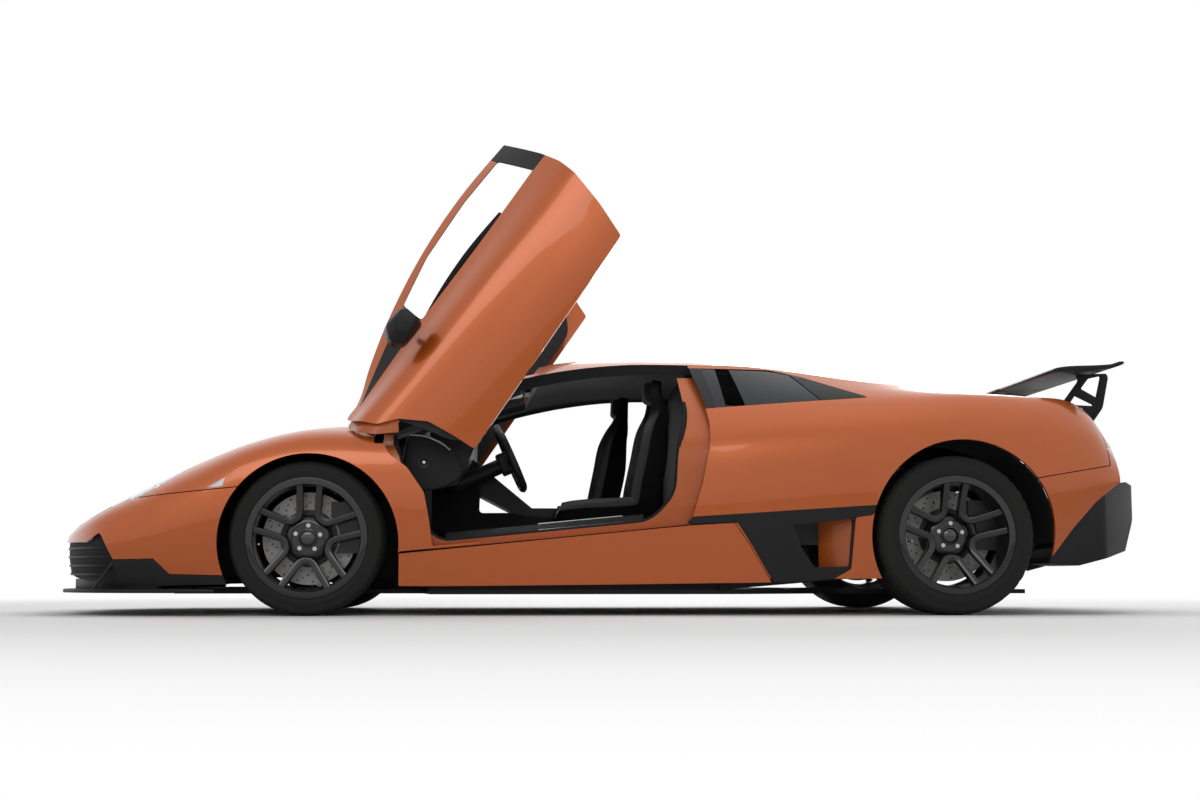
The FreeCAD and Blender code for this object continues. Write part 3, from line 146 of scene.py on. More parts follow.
# Outlines seen from the front: y, z
INTAKE = [(255, 120), (285, 302), (600, 304), (700, 342), (1000, 342), (1000, 120)]
TAIL_LAMP = [(560, 640), (700, 640), (820, 600), (845, 700), (700, 716), (560, 712)]
TAIL_OPENING = [(-10, 562), (-10, 700), (545, 700), (545, 562)]
# Mirror housing. Columns: half-width on the car, front and rear x, bottom and top z
MIRROR_HEAD = [(895, 640, 756, 794, 884), (932, 604, 768, 776, 896), (1026, 622, 768, 770, 884),
    (1066, 668, 764, 786, 868)]


def slopes(xs, ys):
    """Tangents of a smooth curve through unevenly spaced values."""
    secants = [(b - a) / (q - p) for a, b, p, q in zip(ys, ys[1:], xs, xs[1:])]
    inner = [0.0 if a * b <= 0 else (a + b) / 2 for a, b in zip(secants, secants[1:])]
    return [secants[0]] + inner + [secants[-1]]


SECTION_XS = [row[0] * MM for row in BODY]
COLUMNS = [[row[i] * MM for row in BODY] for i in range(1, 14)]
COLUMN_SLOPES = [slopes(SECTION_XS, column) for column in COLUMNS]


def hermite(a, b, ta, tb, span, share):
    """Point on a cubic between two values with their tangents."""
    s2, s3 = share * share, share ** 3
    return ((2 * s3 - 3 * s2 + 1) * a + (s3 - 2 * s2 + share) * span * ta
            + (3 * s2 - 2 * s3) * b + (s3 - s2) * span * tb)


def column_at(index, x):
    """A column of the body table at x, in metres."""
    x = min(max(x, SECTION_XS[0]), SECTION_XS[-1])
    i = next(k for k in range(len(SECTION_XS) - 1) if x <= SECTION_XS[k + 1])
    span = SECTION_XS[i + 1] - SECTION_XS[i]
    values, tangents = COLUMNS[index], COLUMN_SLOPES[index]
    return hermite(values[i], values[i + 1], tangents[i], tangents[i + 1], span, (x - SECTION_XS[i]) / span)


def section_at(x):
    """The right half of the body's section at x: (y, z) from the bottom edge up to the middle."""
    knots = [(column_at(2 * i, x), column_at(2 * i + 1, x)) for i in range(6)] + [(0.0, column_at(12, x))]
    points = [Vector(k) for k in knots]
    lengths = [max(1e-4, (b - a).length) for a, b in zip(points, points[1:])]
    chords = [(b - a) / s for a, b, s in zip(points, points[1:], lengths)]
    into, out = [chords[0]], [chords[0]]
    for i in range(1, len(points) - 1):
        weight = lengths[i] / (lengths[i - 1] + lengths[i])
        even = chords[i - 1] * weight + chords[i] * (1 - weight)
        into.append(chords[i - 1].lerp(even, ROUNDNESS[i]))
        out.append(chords[i].lerp(even, ROUNDNESS[i]))
    into.append(Vector((-1, 0)))
    out.append(Vector((-1, 0)))
    curve = [points[0]]
    for i, count in enumerate(PER_SPAN):
        for k in range(1, count + 1):
            curve.append(Vector([
                hermite(points[i][c], points[i + 1][c], out[i][c], into[i + 1][c], lengths[i], k / count)
                for c in (0, 1)]))
    curve[-1] = Vector((0.0, curve[-1][1]))
    return curve


def side_width(x, z):
    """Half-width of the body's side at x and z, in metres."""
    curve = section_at(x)
    for low, high in zip(curve, curve[1:]):
        if low[1] <= z <= high[1]:
            share = (z - low[1]) / max(1e-6, high[1] - low[1])
            return low[0] + share * (high[0] - low[0])
    return curve[0][0] if z < curve[0][1] else curve[-1][0]


def place(x, y, z):
    """A point of the car's frame from millimetres behind the front axle."""
    return Vector((x * MM + AXLE_X, y * MM, z * MM))


def scaled(points):
    return [(a * MM, b * MM) for a, b in points]


def oblong(a0, a1, b0, b1):
    """A four-cornered outline."""
    return [(a0, b0), (a0, b1), (a1, b1), (a1, b0)]


def with_mirror(points):
    """A plan outline with the mirror image of all but its first and last points."""
    return points + [(x, -y) for x, y in reversed(points[1:-1])]


def grow(points, distance):
    """An outline in metres with every side moved outwards."""
    area = sum(a[0] * b[1] - b[0] * a[1] for a, b in zip(points, points[1:] + points[:1]))
    sign = -1.0 if area > 0 else 1.0
    moved = []
    for i, (a, b) in enumerate(points):
        before, after = points[i - 1], points[(i + 1) % len(points)]
        first = Vector((a - before[0], b - before[1])).normalized()
        second = Vector((after[0] - a, after[1] - b)).normalized()
        n1, n2 = Vector((-first[1], first[0])), Vector((-second[1], second[0]))
        reach = sign * distance / max(0.35, 1 + n1.dot(n2))
        moved.append((a + (n1[0] + n2[0]) * reach, b + (n1[1] + n2[1]) * reach))
    return moved


def rounded(points, radius, steps=5):
    """An outline with its corners rounded by short curves."""
    result = []
    for i, p in enumerate(points):
        here = Vector(p)
        before, after = Vector(points[i - 1]), Vector(points[(i + 1) % len(points)])
        cut = min(radius, (here - before).length * 0.45, (after - here).length * 0.45)
        a = here + (before - here).normalized() * cut
        b = here + (after - here).normalized() * cut
        for k in range(steps + 1):
            s = k / steps
            q = a * (1 - s) ** 2 + here * 2 * s * (1 - s) + b * s * s
            result.append((q[0], q[1]))
    return result


def curve_through(points, steps=6, closed=False):
    """Points on a smooth curve that passes through the given ones."""
    points = [Vector(p) for p in points]
    count = len(points)
    result = []
    for i in range(count if closed else count - 1):
        p1, p2 = points[i], points[(i + 1) % count]
        p0 = points[i - 1] if closed or i else p1 * 2 - p2
        p3 = points[(i + 2) % count] if closed or i < count - 2 else p2 * 2 - p1
        for k in range(steps):
            result.append(hermite(p1, p2, (p2 - p0) / 2, (p3 - p1) / 2, 1.0, k / steps))
    return result if closed else result + [points[-1]]


def foot_line(start, end, shift, count=24):
    """Plan points along the glass foot, from start to end, moved sideways, in metres."""
    xs = [start + (end - start) * i / count for i in range(count + 1)]
    return [(x, column_at(GLASS_FOOT, x) + shift) for x in xs]


# Meshes


def make_object(name, mesh):
    item = bpy.data.objects.new(name, mesh)
    bpy.context.scene.collection.objects.link(item)
    return item


def loft(name, rings, looks=PAINTED, look=0, looped=False):
    """A closed form through rings of equally many points, with its material slots."""
    count = len(rings[0])
    work = bmesh.new()
    corners = [work.verts.new(v) for ring in rings for v in ring]
    faces = []
    for i in range(len(rings) if looped else len(rings) - 1):
        k = (i + 1) % len(rings)
        for j in range(count):
            a, b = j, (j + 1) % count
            faces.append((i * count + a, k * count + a, k * count + b, i * count + b))
    if not looped:
        faces += [range(count), range(len(corners) - count, len(corners))]
    for face in faces:
        work.faces.new([corners[i] for i in face]).material_index = look
    bmesh.ops.recalc_face_normals(work, faces=work.faces)
    mesh = bpy.data.meshes.new(name)
    work.to_mesh(mesh)
    work.free()
    for slot in looks:
        mesh.materials.append(materials[slot])
    return make_object(name, mesh)


def skin(name, start, end, depth, look=0):
    """The closed body between two X values, moved inwards by a depth."""
    rings = []
    count = max(2, round((end - start) / STATION_STEP) + 1)
    for k in range(count):
        x = start + (end - start) * k / (count - 1)
        half = section_at(x)
        ring = half + [Vector((-p[0], p[1])) for p in reversed(half[:-1])]
        if depth:
            edges = [ring[(i + 1) % len(ring)] - ring[i - 1] for i in range(len(ring))]
            ring = [p + Vector((-edge[1], edge[0])).normalized() * depth for p, edge in zip(ring, edges)]
        rings.append([Vector((x + AXLE_X, p[0], p[1])) for p in ring])
    return loft(name, rings, look=look)


def turned_rings(profile, segments):
    """Copies of a profile of (radius, y) points in metres, spread round Y."""
    angles = [2 * math.pi * k / segments for k in range(segments)]
    return [[Vector((r * math.cos(a), y, r * math.sin(a))) for r, y in profile] for a in angles]


def turned(name, profile, looks, segments=96):
    """A form turned about Y from (radius, y) points in millimetres."""
    return loft(name, turned_rings(scaled(profile), segments), looks, looped=True)


def sweep(name, path, section, looks, up=(0, 1, 0), closed=False):
    """A section carried along a path. The section's second axis follows up."""
    rings = []
    up = Vector(up).normalized()
    count = len(path)
    for i, p in enumerate(path):
        ahead = path[(i + 1) % count] if closed or i < count - 1 else p
        behind = path[i - 1] if closed or i else p
        along = (ahead - behind).normalized()
        side = along.cross(up).normalized()
        top = side.cross(along).normalized()
        rings.append([p + side * a + top * b for a, b in section])
    return loft(name, rings, looks, looped=closed)


def circle(radius, sides=10):
    angles = [2 * math.pi * k / sides for k in range(sides)]
    return [(radius * math.cos(a), radius * math.sin(a)) for a in angles]


def rod(name, start, end, radius, looks, sides=16):
    """A plain round rod between two points."""
    along = (end - start).normalized()
    up = Vector((0, 0, 1)) if abs(along.z) < 0.9 else Vector((1, 0, 0))
    return sweep(name, [start, end], circle(radius, sides), looks, up)


def prism(points, across, low, high, look=0, looks=PAINTED):
    """A prism over an outline in metres: "y" takes (x, z), "z" takes (x, y) and "x" takes (y, z)."""
    order = {"x": lambda a, b, depth: (depth + AXLE_X, a, b), "y": lambda a, b, depth: (a + AXLE_X, depth, b),
             "z": lambda a, b, depth: (a + AXLE_X, b, depth)}[across]
    return loft("prism", [[Vector(order(a, b, depth)) for a, b in points] for depth in (low, high)], looks,
                look)


def block(points, across="y", low=-0.1, high=FAR, extra=0.0, radius=0.0, look=0, looks=PAINTED):
    """A prism over an outline in millimetres that is moved outwards and then rounded, by metres."""
    outline = grow(scaled(points), extra) if extra else scaled(points)
    return prism(rounded(outline, radius) if radius else outline, across, low, high, look, looks)


def plate(points, across, low, high, look="satin_black", bevel=0.003):
    """A solid plate over an outline in millimetres, with soft edges."""
    return soften(block(points, across, low * MM, high * MM, looks=(look,)), bevel)


def soften(item, bevel, segments=2):
    modifier = item.modifiers.new("bevel", "BEVEL")
    modifier.width = bevel
    modifier.segments = segments
    modifier.limit_method = "ANGLE"
    apply_modifiers(item)
    return item


def apply_modifiers(item):
    graph = bpy.context.evaluated_depsgraph_get()
    mesh = bpy.data.meshes.new_from_object(item.evaluated_get(graph))
    old = item.data
    item.modifiers.clear()
    item.data = mesh
    mesh.name = item.name
    bpy.data.meshes.remove(old)


def boolean(item, cutter, operation="DIFFERENCE"):
    """Apply an exact boolean with another object, which is then dropped."""
    modifier = item.modifiers.new("cut", "BOOLEAN")
    modifier.operation = operation
    modifier.solver = "EXACT"
    modifier.object = cutter
    apply_modifiers(item)
    bpy.data.objects.remove(cutter)
    return item


def copy_of(item, name):
    return make_object(name, item.data.copy())


def arch_disc(x, z, radius, look=0):
    """A cutter for a wheel well of the right-hand side."""
    ring = circle(radius, 96)
    return loft("arch", [[Vector((AXLE_X + x + a, y, z + b)) for a, b in ring] for y in WELL_DEPTHS],
                look=look)


FRONT_ARCH = (0.008, 0.2923, 0.364)
REAR_ARCH = (WHEELBASE + 0.035, 0.3331, 0.392)


def panel(name, start, end, wall, region, cuts=(), depth=0.0, looks=PAINTED):
    """A piece of the body's skin: as thick as the wall, kept inside a region and outside every cut."""
    outer = boolean(skin(name, start, end, depth), region, "INTERSECT")
    boolean(outer, skin("inner", start - 0.01, end + 0.01, depth + wall, 1))
    for cut in cuts:
        boolean(outer, cut)
    looks_of(outer, *looks)
    return outer


def smooth(item, angle=32.0):
    """Smooth shading with sharp edges kept."""
    item.data.shade_smooth()
    work = bmesh.new()
    work.from_mesh(item.data)
    limit = math.radians(angle)
    for edge in work.edges:
        if len(edge.link_faces) == 2:
            edge.smooth = edge.calc_face_angle(0.0) < limit
    work.to_mesh(item.data)
    work.free()


def mirrored(item, name):
    """A mirror image on the other side of the car."""
    mesh = item.data.copy()
    mesh.transform(Matrix.Scale(-1, 4, (0, 1, 0)))
    mesh.flip_normals()
    return make_object(name, mesh)


def join(name, items):
    """One object from several, keeping their materials."""
    work = bmesh.new()
    slots = []
    for item in items:
        names = list(item.data.materials)
        slots += [m for m in names if m not in slots]
        mesh = item.data.copy()
        for face in mesh.polygons:
            face.material_index = slots.index(names[min(face.material_index, len(names) - 1)])
        work.from_mesh(mesh)
        bpy.data.meshes.remove(mesh)
        bpy.data.objects.remove(item)
    mesh = bpy.data.meshes.new(name)
    work.to_mesh(mesh)
    work.free()
    for material in slots:
        mesh.materials.append(material)
    return make_object(name, mesh)


def looks_of(item, *names):
    """Give the material slots of an object, in order. The last name goes to the slots that are left."""
    for index in range(len(item.data.materials)):
        item.data.materials[index] = materials[names[min(index, len(names) - 1)]]


def finish(item, body, nodes=(), angle=32.0):
    """Shade a piece, seat it on its body and hide the imported parts it stands for."""
    smooth(item, angle)
    item.data.name = item.name
    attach(item, body)
    if nodes:
        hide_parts(*nodes)


def finish_pair(item, base, body, node=None, angle=32.0):
    """A right-hand piece and its mirror image, each on its own side's body."""
    twin = mirrored(item, f"{base}_left")
    item.name = f"{base}_right"
    for piece, side in ((item, "right"), (twin, "left")):
        finish(piece, body.format(side), (node.format(side),) if node else (), angle)


def both_sides(item, name):
    """The piece and its mirror image joined as one."""
    return join(name, [item, mirrored(item, "twin")])


def finish_both(item, name, slot, *nodes, angle=32.0):
    """A right-hand piece and its mirror image as one piece of the body."""
    finish(both_sides(item, name), "root", nodes, angle)


# Finishes

materials = {}


def new_material(name):
    material = bpy.data.materials.new(name)
    material.use_nodes = True
    materials[name] = material
    nodes = material.node_tree.nodes
    return nodes, material.node_tree.links, nodes["Principled BSDF"]


def add_node(nodes, kind, inputs=None, **settings):
    """A shader node with the given inputs and settings."""
    node = nodes.new(f"ShaderNode{kind}")
    for name, value in settings.items():
        setattr(node, name, value)
    for name, value in (inputs or {}).items():
        node.inputs[name].default_value = value
    return node


def connect(links, *wires):
    """Link shader nodes: each wire is a node, its output, the next node and its input."""
    for source, out, target, into in wires:
        links.new(source.outputs[out], target.inputs[into])


def grain(parts, scale, strength, distance, stretch):
    """Fine relief from noise in the car's own frame. Returns the noise."""
    nodes, links, shader = parts
    coordinates = add_node(nodes, "TexCoord")
    mapping = add_node(nodes, "Mapping", {"Scale": stretch})
    noise = add_node(nodes, "TexNoise", {"Scale": scale, "Detail": 3.0})
    bump = add_node(nodes, "Bump", {"Strength": strength, "Distance": distance})
    connect(links, (coordinates, "Object", mapping, "Vector"), (mapping, "Vector", noise, "Vector"),
            (noise, "Fac", bump, "Height"), (bump, "Normal", shader, "Normal"))
    return noise


def drift(parts, noise, socket, low, high):
    """A socket that drifts between two values with the noise."""
    nodes, links, shader = parts
    if socket == "Base Color":
        mix = add_node(nodes, "Mix", {"A": (*low, 1), "B": (*high, 1)}, data_type="RGBA")
        connect(links, (noise, "Fac", mix, "Factor"), (mix, "Result", shader, socket))
        return
    spread = add_node(nodes, "MapRange", {"From Min": 0.3, "From Max": 0.7, "To Min": low, "To Max": high})
    connect(links, (noise, "Fac", spread, "Value"), (spread, "Result", shader, socket))


# Columns: low and high colour, roughness, metal, noise scale, bump strength, bump depth, coat, noise stretch
LOOKS = {
    "paint": ((0.43, 0.082, 0.007), (0.49, 0.098, 0.009), (0.27, 0.33), 0.35, 1600.0, 0.05, 0.00004, 0.55),
    # Next row: the body paint made darker, as painted shade, for the door's opening, its hinge arm and lip
    # and the scoop's cheek
    "paint_darkened_as_shade": ((0.37, 0.072, 0.007), (0.43, 0.086, 0.009), (0.36, 0.44), 0.1, 500.0, 0.12, 0.0001, 0.3),
    "satin_black": ((0.01, 0.01, 0.011), (0.018, 0.018, 0.019), (0.36, 0.48), 0.0, 500.0, 0.12, 0.0001, 0.0),
    "gloss_black": ((0.006, 0.006, 0.007), (0.01, 0.01, 0.011), (0.1, 0.16), 0.0, 900.0, 0.04, 0.00005, 1.0),
    "lining": ((0.008, 0.008, 0.009), (0.016, 0.016, 0.017), (0.62, 0.78), 0.0, 900.0, 0.4, 0.0003, 0.0),
    "trim": ((0.014, 0.014, 0.015), (0.026, 0.026, 0.028), (0.55, 0.7), 0.0, 1100.0, 0.45, 0.0003, 0.0),
    "seal": ((0.008, 0.008, 0.008), (0.014, 0.014, 0.014), (0.7, 0.85), 0.0, 700.0, 0.3, 0.0002, 0.0),
    "rubber": ((0.011, 0.011, 0.011), (0.02, 0.02, 0.019), (0.7, 0.86), 0.0, 260.0, 0.3, 0.0003, 0.0),
    "steel": ((0.4, 0.4, 0.41), (0.55, 0.55, 0.56), (0.24, 0.36), 1.0, 90.0, 0.12, 0.0001, 0.0, (1, 12, 1)),
    "alloy": ((0.36, 0.36, 0.37), (0.5, 0.5, 0.51), (0.42, 0.58), 0.9, 160.0, 0.35, 0.0005, 0.0),
    "rim_black": ((0.009, 0.009, 0.01), (0.016, 0.016, 0.017), (0.25, 0.33), 0.3, 700.0, 0.05, 0.00005, 0.7),
    "disc": ((0.19, 0.185, 0.18), (0.3, 0.295, 0.285), (0.4, 0.52), 0.85, 240.0, 0.2, 0.0001, 0.0),
    "chassis": ((0.022, 0.022, 0.024), (0.042, 0.042, 0.044), (0.45, 0.6), 0.2, 140.0, 0.3, 0.0004, 0.1),
    "suede": ((0.008, 0.008, 0.01), (0.02, 0.02, 0.023), (0.88, 0.98), 0.0, 1800.0, 0.7, 0.0005, 0.0),
    "leather": ((0.012, 0.012, 0.013), (0.022, 0.022, 0.023), (0.42, 0.56), 0.0, 650.0, 0.5, 0.0004, 0.1),
    "caliper": ((0.012, 0.012, 0.013), (0.022, 0.022, 0.023), (0.3, 0.42), 0.2, 160.0, 0.15, 0.0002, 0.3),
    "red_lens": ((0.34, 0.008, 0.008), (0.46, 0.013, 0.01), (0.08, 0.14), 0.0, 260.0, 0.05, 0.0001, 1.0),
    "pale_lens": ((0.4, 0.43, 0.47), (0.52, 0.55, 0.6), (0.1, 0.16), 0.0, 260.0, 0.05, 0.0001, 1.0),
    "reflector": ((0.6, 0.6, 0.61), (0.72, 0.72, 0.73), (0.12, 0.2), 1.0, 60.0, 0.03, 0.0001, 0.0),
    "screen": ((0.03, 0.035, 0.04), (0.045, 0.05, 0.055), (0.08, 0.12), 0.0, 60.0, 0.01, 0.0001, 0.5),
}


def make_looks():
    for name, (low, high, rough, metal, scale, strength, depth, coat, *stretch) in LOOKS.items():
        parts = new_material(name)
        shader = parts[2]
        dull_black = high[0] < 0.03 and rough[0] > 0.2
        for socket, value in (("Metallic", metal), ("Coat Weight", coat), ("Coat Roughness", 0.03),
                              ("Specular IOR Level", 0.18 if dull_black else 0.4)):
            shader.inputs[socket].default_value = value
        noise = grain(parts, scale, strength, depth, stretch[0] if stretch else (1, 1, 1))
        drift(parts, noise, "Base Color", low, high)
        drift(parts, noise, "Roughness", *rough)
    materials["suede"].node_tree.nodes["Principled BSDF"].inputs["Sheen Weight"].default_value = 0.3
    for name, color, clear, rough, shine in (("clear_glass", (0.90, 0.94, 0.95), 1.0, 0.01, 0.5),
                                             ("dark_glass", (0.012, 0.017, 0.024), 0.1, 0.05, 0.3)):
        shader = new_material(name)[2]
        for socket, value in (("Base Color", (*color, 1)), ("Transmission Weight", clear),
                              ("Roughness", rough), ("IOR", 1.45), ("Specular IOR Level", shine)):
            shader.inputs[socket].default_value = value


# Body panels. Faces of slot 0 are painted and those of slot 1 are the dark lining.


def door_matrix(side):
    """Where an open door stands, from where it closes: side is 1 right and -1 left."""
    lean, turn = math.radians(DOOR_LEAN), math.radians(DOOR_TURN)
    hinge = place(HINGE[0], side * HINGE[1], HINGE[2])
    axis = Vector((0, math.cos(lean), -side * math.sin(lean)))
    return Matrix.Translation(hinge) @ Matrix.Rotation(turn, 4, axis) @ Matrix.Translation(-hinge)


def beside(start, end, shift, look=0):
    """Plan region outside the greenhouse's foot."""
    return prism(foot_line(start, end, shift) + [(end, FAR), (start, FAR)], "z", 0, 2, look)


def door_hole():
    return block(DOOR, extra=SEAM, radius=CORNER)


def build_fender():
    seam = [(-1300, 50), (-1300, 345)] + BUMPER_SEAM + [(-254, 50)]
    item = panel("fender", -1.06, 0.7, SHEET, beside(-1.062, 0.7, SEAM / 2), [
        block(seam, extra=SEAM / 2), arch_disc(*FRONT_ARCH), door_hole(), block(SILL, extra=SEAM / 2),
        block(oblong(266, 900, 700, 1200)), block(LAMP, "z", 0.2, 1, 0.0015)])
    finish_pair(item, "fender_skin", "root", "front_fender_{}")
    marker = panel("marker", -0.5, -0.2, 0.006, block(MARKER, low=0.5), depth=-0.0015, looks=("pale_lens",))
    finish_pair(marker, "side_marker", "root")


def build_headlamps():
    """Clear covers over dark buckets with two round lamps each."""
    cover = panel("cover", -0.9, -0.45, 0.004, block(LAMP, "z", 0.2, 1, -0.0015), looks=("clear_glass",))
    finish_both(cover, "lamp_covers", "clear_glass", "headlamps")
    region = block(LAMP, "z", 0.2, 1, -0.002, look=1)
    parts = [panel("bucket", -0.9, -0.45, 0.006, region, depth=0.07, looks=("gloss_black",))]
    bowl = [(4, -32), (18, -30), (34, -16), (42, 6), (46, 14), (50, 14), (50, 4), (40, -24), (20, -42),
            (4, -42)]
    for x, y, z, radius in ((-735, 742, 440, 46), (-630, 765, 500, 38)):
        size = radius / 50
        lamp = turned("lamp", [(r * size, depth * size) for r, depth in bowl], ("reflector",), 40)
        lens = turned("lens", [(0.4, 14), (18 * size, 9), (26 * size, -4), (26 * size, -8), (0.4, -8)],
                      ("clear_glass",), 32)
        for part in (lamp, lens):
            turn = Matrix.Rotation(math.radians(78), 4, "Z")
            part.data.transform(Matrix.Translation(place(x, y, z)) @ turn)
            parts.append(part)
    finish_both(join("lamp_units_right", parts), "lamp_units", "clear_glass")


def intake(extra=0.0, look=1):
    """Form that cuts the nose's intake, which wraps round the corner."""
    form = block(INTAKE_SIDE, low=0.1, extra=extra, look=look)
    return boolean(form, block(INTAKE, "x", -1.3, -0.6, extra, CORNER, look), "INTERSECT")


def build_bumper():
    plan = foot_line(-0.991, 0.118, SEAM / 2) + [(0.118, -0.01), (-0.991, -0.01)]
    region = block([(-1200, 60), (-1200, 345)] + BUMPER_SEAM + [(-254, 60)], low=-0.001, extra=-SEAM / 2)
    item = panel("bumper", -1.062, -0.2, SHEET, region, [
        arch_disc(*FRONT_ARCH), intake(), block(LIP, extra=SEAM / 2), prism(plan, "z", 0.3, 1),
        block(oblong(-700, 0, 0, 700), high=0.7)])
    finish_both(item, "bumper_skin", "paint", "front_bumper")
    filling = boolean(skin("filling", -1.045, -0.72, 0.0205), intake(-0.0005, 0), "INTERSECT")
    blades = boolean(skin("blades", -1.052, -0.72, 0.014), intake(-0.002, 0), "INTERSECT")
    rows = [block(oblong(-1200, -600, z, z + 8), low=0.1) for z in range(128, 273, 36)]
    boolean(blades, join("rows", rows), "INTERSECT")
    looks_of(filling, "lining")
    looks_of(blades, "satin_black")
    nose = both_sides(join("nose", [filling, blades]), "nose_intakes")
    frames = [(-556, 556, 556, 562), (-556, 556, 700, 712), (-556, -546, 556, 712), (546, 556, 556, 712)]
    bars = [(-548, 548, z, z + 6) for z in range(580, 677, 24)]
    rear = [block(oblong(*bar), "x", 3.379, 3.387, looks=BLACK) for bar in frames + bars]
    finish(join("intake_grilles", [nose] + rear), "root", ("grilles",))


def build_splitter():
    """Lip around the nose, the blade under it, the dam that carries it and the slanted struts."""
    lip = panel("lip", -1.062, -0.2, 0.024, block(LIP, low=-0.001, extra=-0.0005), [
        arch_disc(*FRONT_ARCH), intake(), block(oblong(-700, 0, 0, 700), high=0.7),
        block(oblong(-345, 0, 0, 230), high=0.87)], looks=BLACK)
    back = [(x + DAM_WALL, max(0, y - DAM_WALL)) for x, y in reversed(DAM)]
    strut = [(-862, 106), (-846, 106), (-772, 222), (-784, 224)]
    parts = [lip, plate(SPLITTER, "z", 92, 108, bevel=0.004), plate(DAM + back, "z", 107, 150, bevel=0.002),
             plate(strut, "y", 846, 862)]
    finish_both(join("splitter_right", parts), "splitter_skin", "satin_black", "front_splitter")


def build_bonnet():
    plan = foot_line(-0.985, 0.06, -0.005) + scaled([(112, 622), (62, 420), (10, 0)])
    plan += [(x, -y) for x, y in reversed(plan[:-1])]
    item = panel("bonnet_skin", -1.05, 0.2, 0.022, prism(plan, "z", 0.3, 1))
    finish(item, "bonnet", ("bonnet",))


def build_doors():
    """Painted outer plates with the window frames, their trimmed inner boxes, hinge arms and mirrors."""
    door = boolean(skin("door", 0.2, 1.72, 0), block(DOOR, radius=CORNER), "INTERSECT")
    boolean(door, beside(0.13, 1.7, 0.006, 1), "INTERSECT")
    boolean(door, skin("inner", 0.13, 1.9, DOOR_PLATE, 1))
    upper = skin("upper", 0.13, 1.9, 0.014, 1)
    boolean(door, boolean(upper, block(oblong(300, 1900, 800, 1300), look=1), "INTERSECT"))
    boolean(door, block(WINDOW, radius=0.014, look=1))
    for face in door.data.polygons:
        if face.material_index and face.center.z < 0.77:
            face.material_index = 0
    black = copy_of(door, "black")
    band = boolean(block(DOOR_BAND, low=0.3), block(DOOR_SAIL, low=0.3), "UNION")
    boolean(black, copy_of(band, "region"), "INTERSECT")
    boolean(door, band)
    looks_of(black, "satin_black", "lining")
    finish_door(door, "door_skin", "door_{}")
    finish_door(black, "door_frame")

    box = skin("box", 0.2, 1.72, DOOR_PLATE - 0.001)
    boolean(box, block(APERTURE, low=0.801, extra=-0.016, radius=0.04), "INTERSECT")
    boolean(box, block(oblong(100, 1900, 200, 765), low=0.5), "INTERSECT")
    soften(box, 0.008, 3)
    looks_of(box, "leather")
    finish_door(box, "door_trim")
    # The hinge arm and the door's lip take the body paint darkened as painted shade.
    finish_door(plate(HINGE_ARM, "y", 808.5, 819.5, "paint_darkened_as_shade"), "door_arm")
    lip = panel("lip", 0.2, 0.5, 0.006, block(DOOR_LIP, low=0.6), depth=0.0225, looks=("paint_darkened_as_shade",))
    finish_door(lip, "door_lip")
    build_mirror()


def finish_door(item, base, node=None):
    """A piece of the closed right-hand door and its twin, turned to where the open doors stand."""
    twin = mirrored(item, f"{base}_left")
    item.name = f"{base}_right"
    for piece, side, word in ((item, 1, "right"), (twin, -1, "left")):
        piece.data.transform(door_matrix(side))
        finish(piece, f"door_{word}", (node.format(word),) if node else ())


def build_mirror():
    rings = []
    for y, x0, x1, z0, z1 in MIRROR_HEAD:
        corners = [(x0 + 30, z0), (x1, z0 + 4), (x1, z1 - 4), (x0 + 45, z1), (x0, (z0 + z1) / 2)]
        rings.append([place(x, y, z) for x, z in rounded(corners, 26, 6)])
    head = soften(loft("head", rings, BLACK), 0.004)
    back = MIRROR_HEAD[2][2] * MM
    glass = block([(905, 800), (905, 880), (1052, 866), (1052, 792)], "x", back + 0.0005, back + 0.002,
                  radius=0.014, looks=("reflector",))
    arm = rod("arm", place(702, 826, 840), place(705, 930, 838), 0.013, BLACK)
    finish_door(join("mirror", [head, arm, glass]), "mirror_shell", "mirror_{}")


def build_greenhouse():
    """Roof with its dark edges and lining, and the windscreen in its seal."""
    glass = scaled([(24, 0), (76, 420), (132, 590)]) + foot_line(0.3, 0.93, -0.052, 8)
    glass = with_mirror(glass + scaled([(965, 400), (1000, 0)]))
    foot = foot_line(0.13, 2.01, -SEAM / 2)
    plan = foot + [(2.03, 0.3), (2.035, 0), (2.03, -0.3)] + [(x, -y) for x, y in reversed(foot)]
    front = [(-100, -590), (-100, 590), (132, 590), (76, 420), (24, 0), (76, -420), (132, -590)]
    roof = panel("roof_skin", 0.13, 2.2, 0.035, prism(plan, "z", 0.7, 1.3, 1), [
        prism(glass, "z", 0.5, 1.3, 1), block(front, "z", 0.5, 1.3, look=1)], looks=("paint", "suede"))
    finish(roof, "root", ("roof",))
    region = prism(grow(glass, -0.003), "z", 0.65, 1.3)
    pane = panel("windscreen_pane", -0.1, 1.3, 0.005, region, looks=("clear_glass",))
    finish(pane, "root", ("windscreen",))
    middle = prism(grow(rounded(glass, 0.04), -0.045), "z", 0.5, 1.3)
    band = panel("windscreen_band", -0.1, 1.3, 0.003, prism(grow(glass, -0.004), "z", 0.65, 1.3), [middle],
                 0.0055, ("seal",))
    finish(band, "root")
    region = block([(120, 430), (140, 585), (300, 715), (600, 650), (420, 470)], "z", 0.7, 1.3)
    corner = panel("corner", 0.1, 0.62, 0.004, region, depth=0.0135, looks=("lining",))
    finish_both(corner, "windscreen_corner", "satin_black")


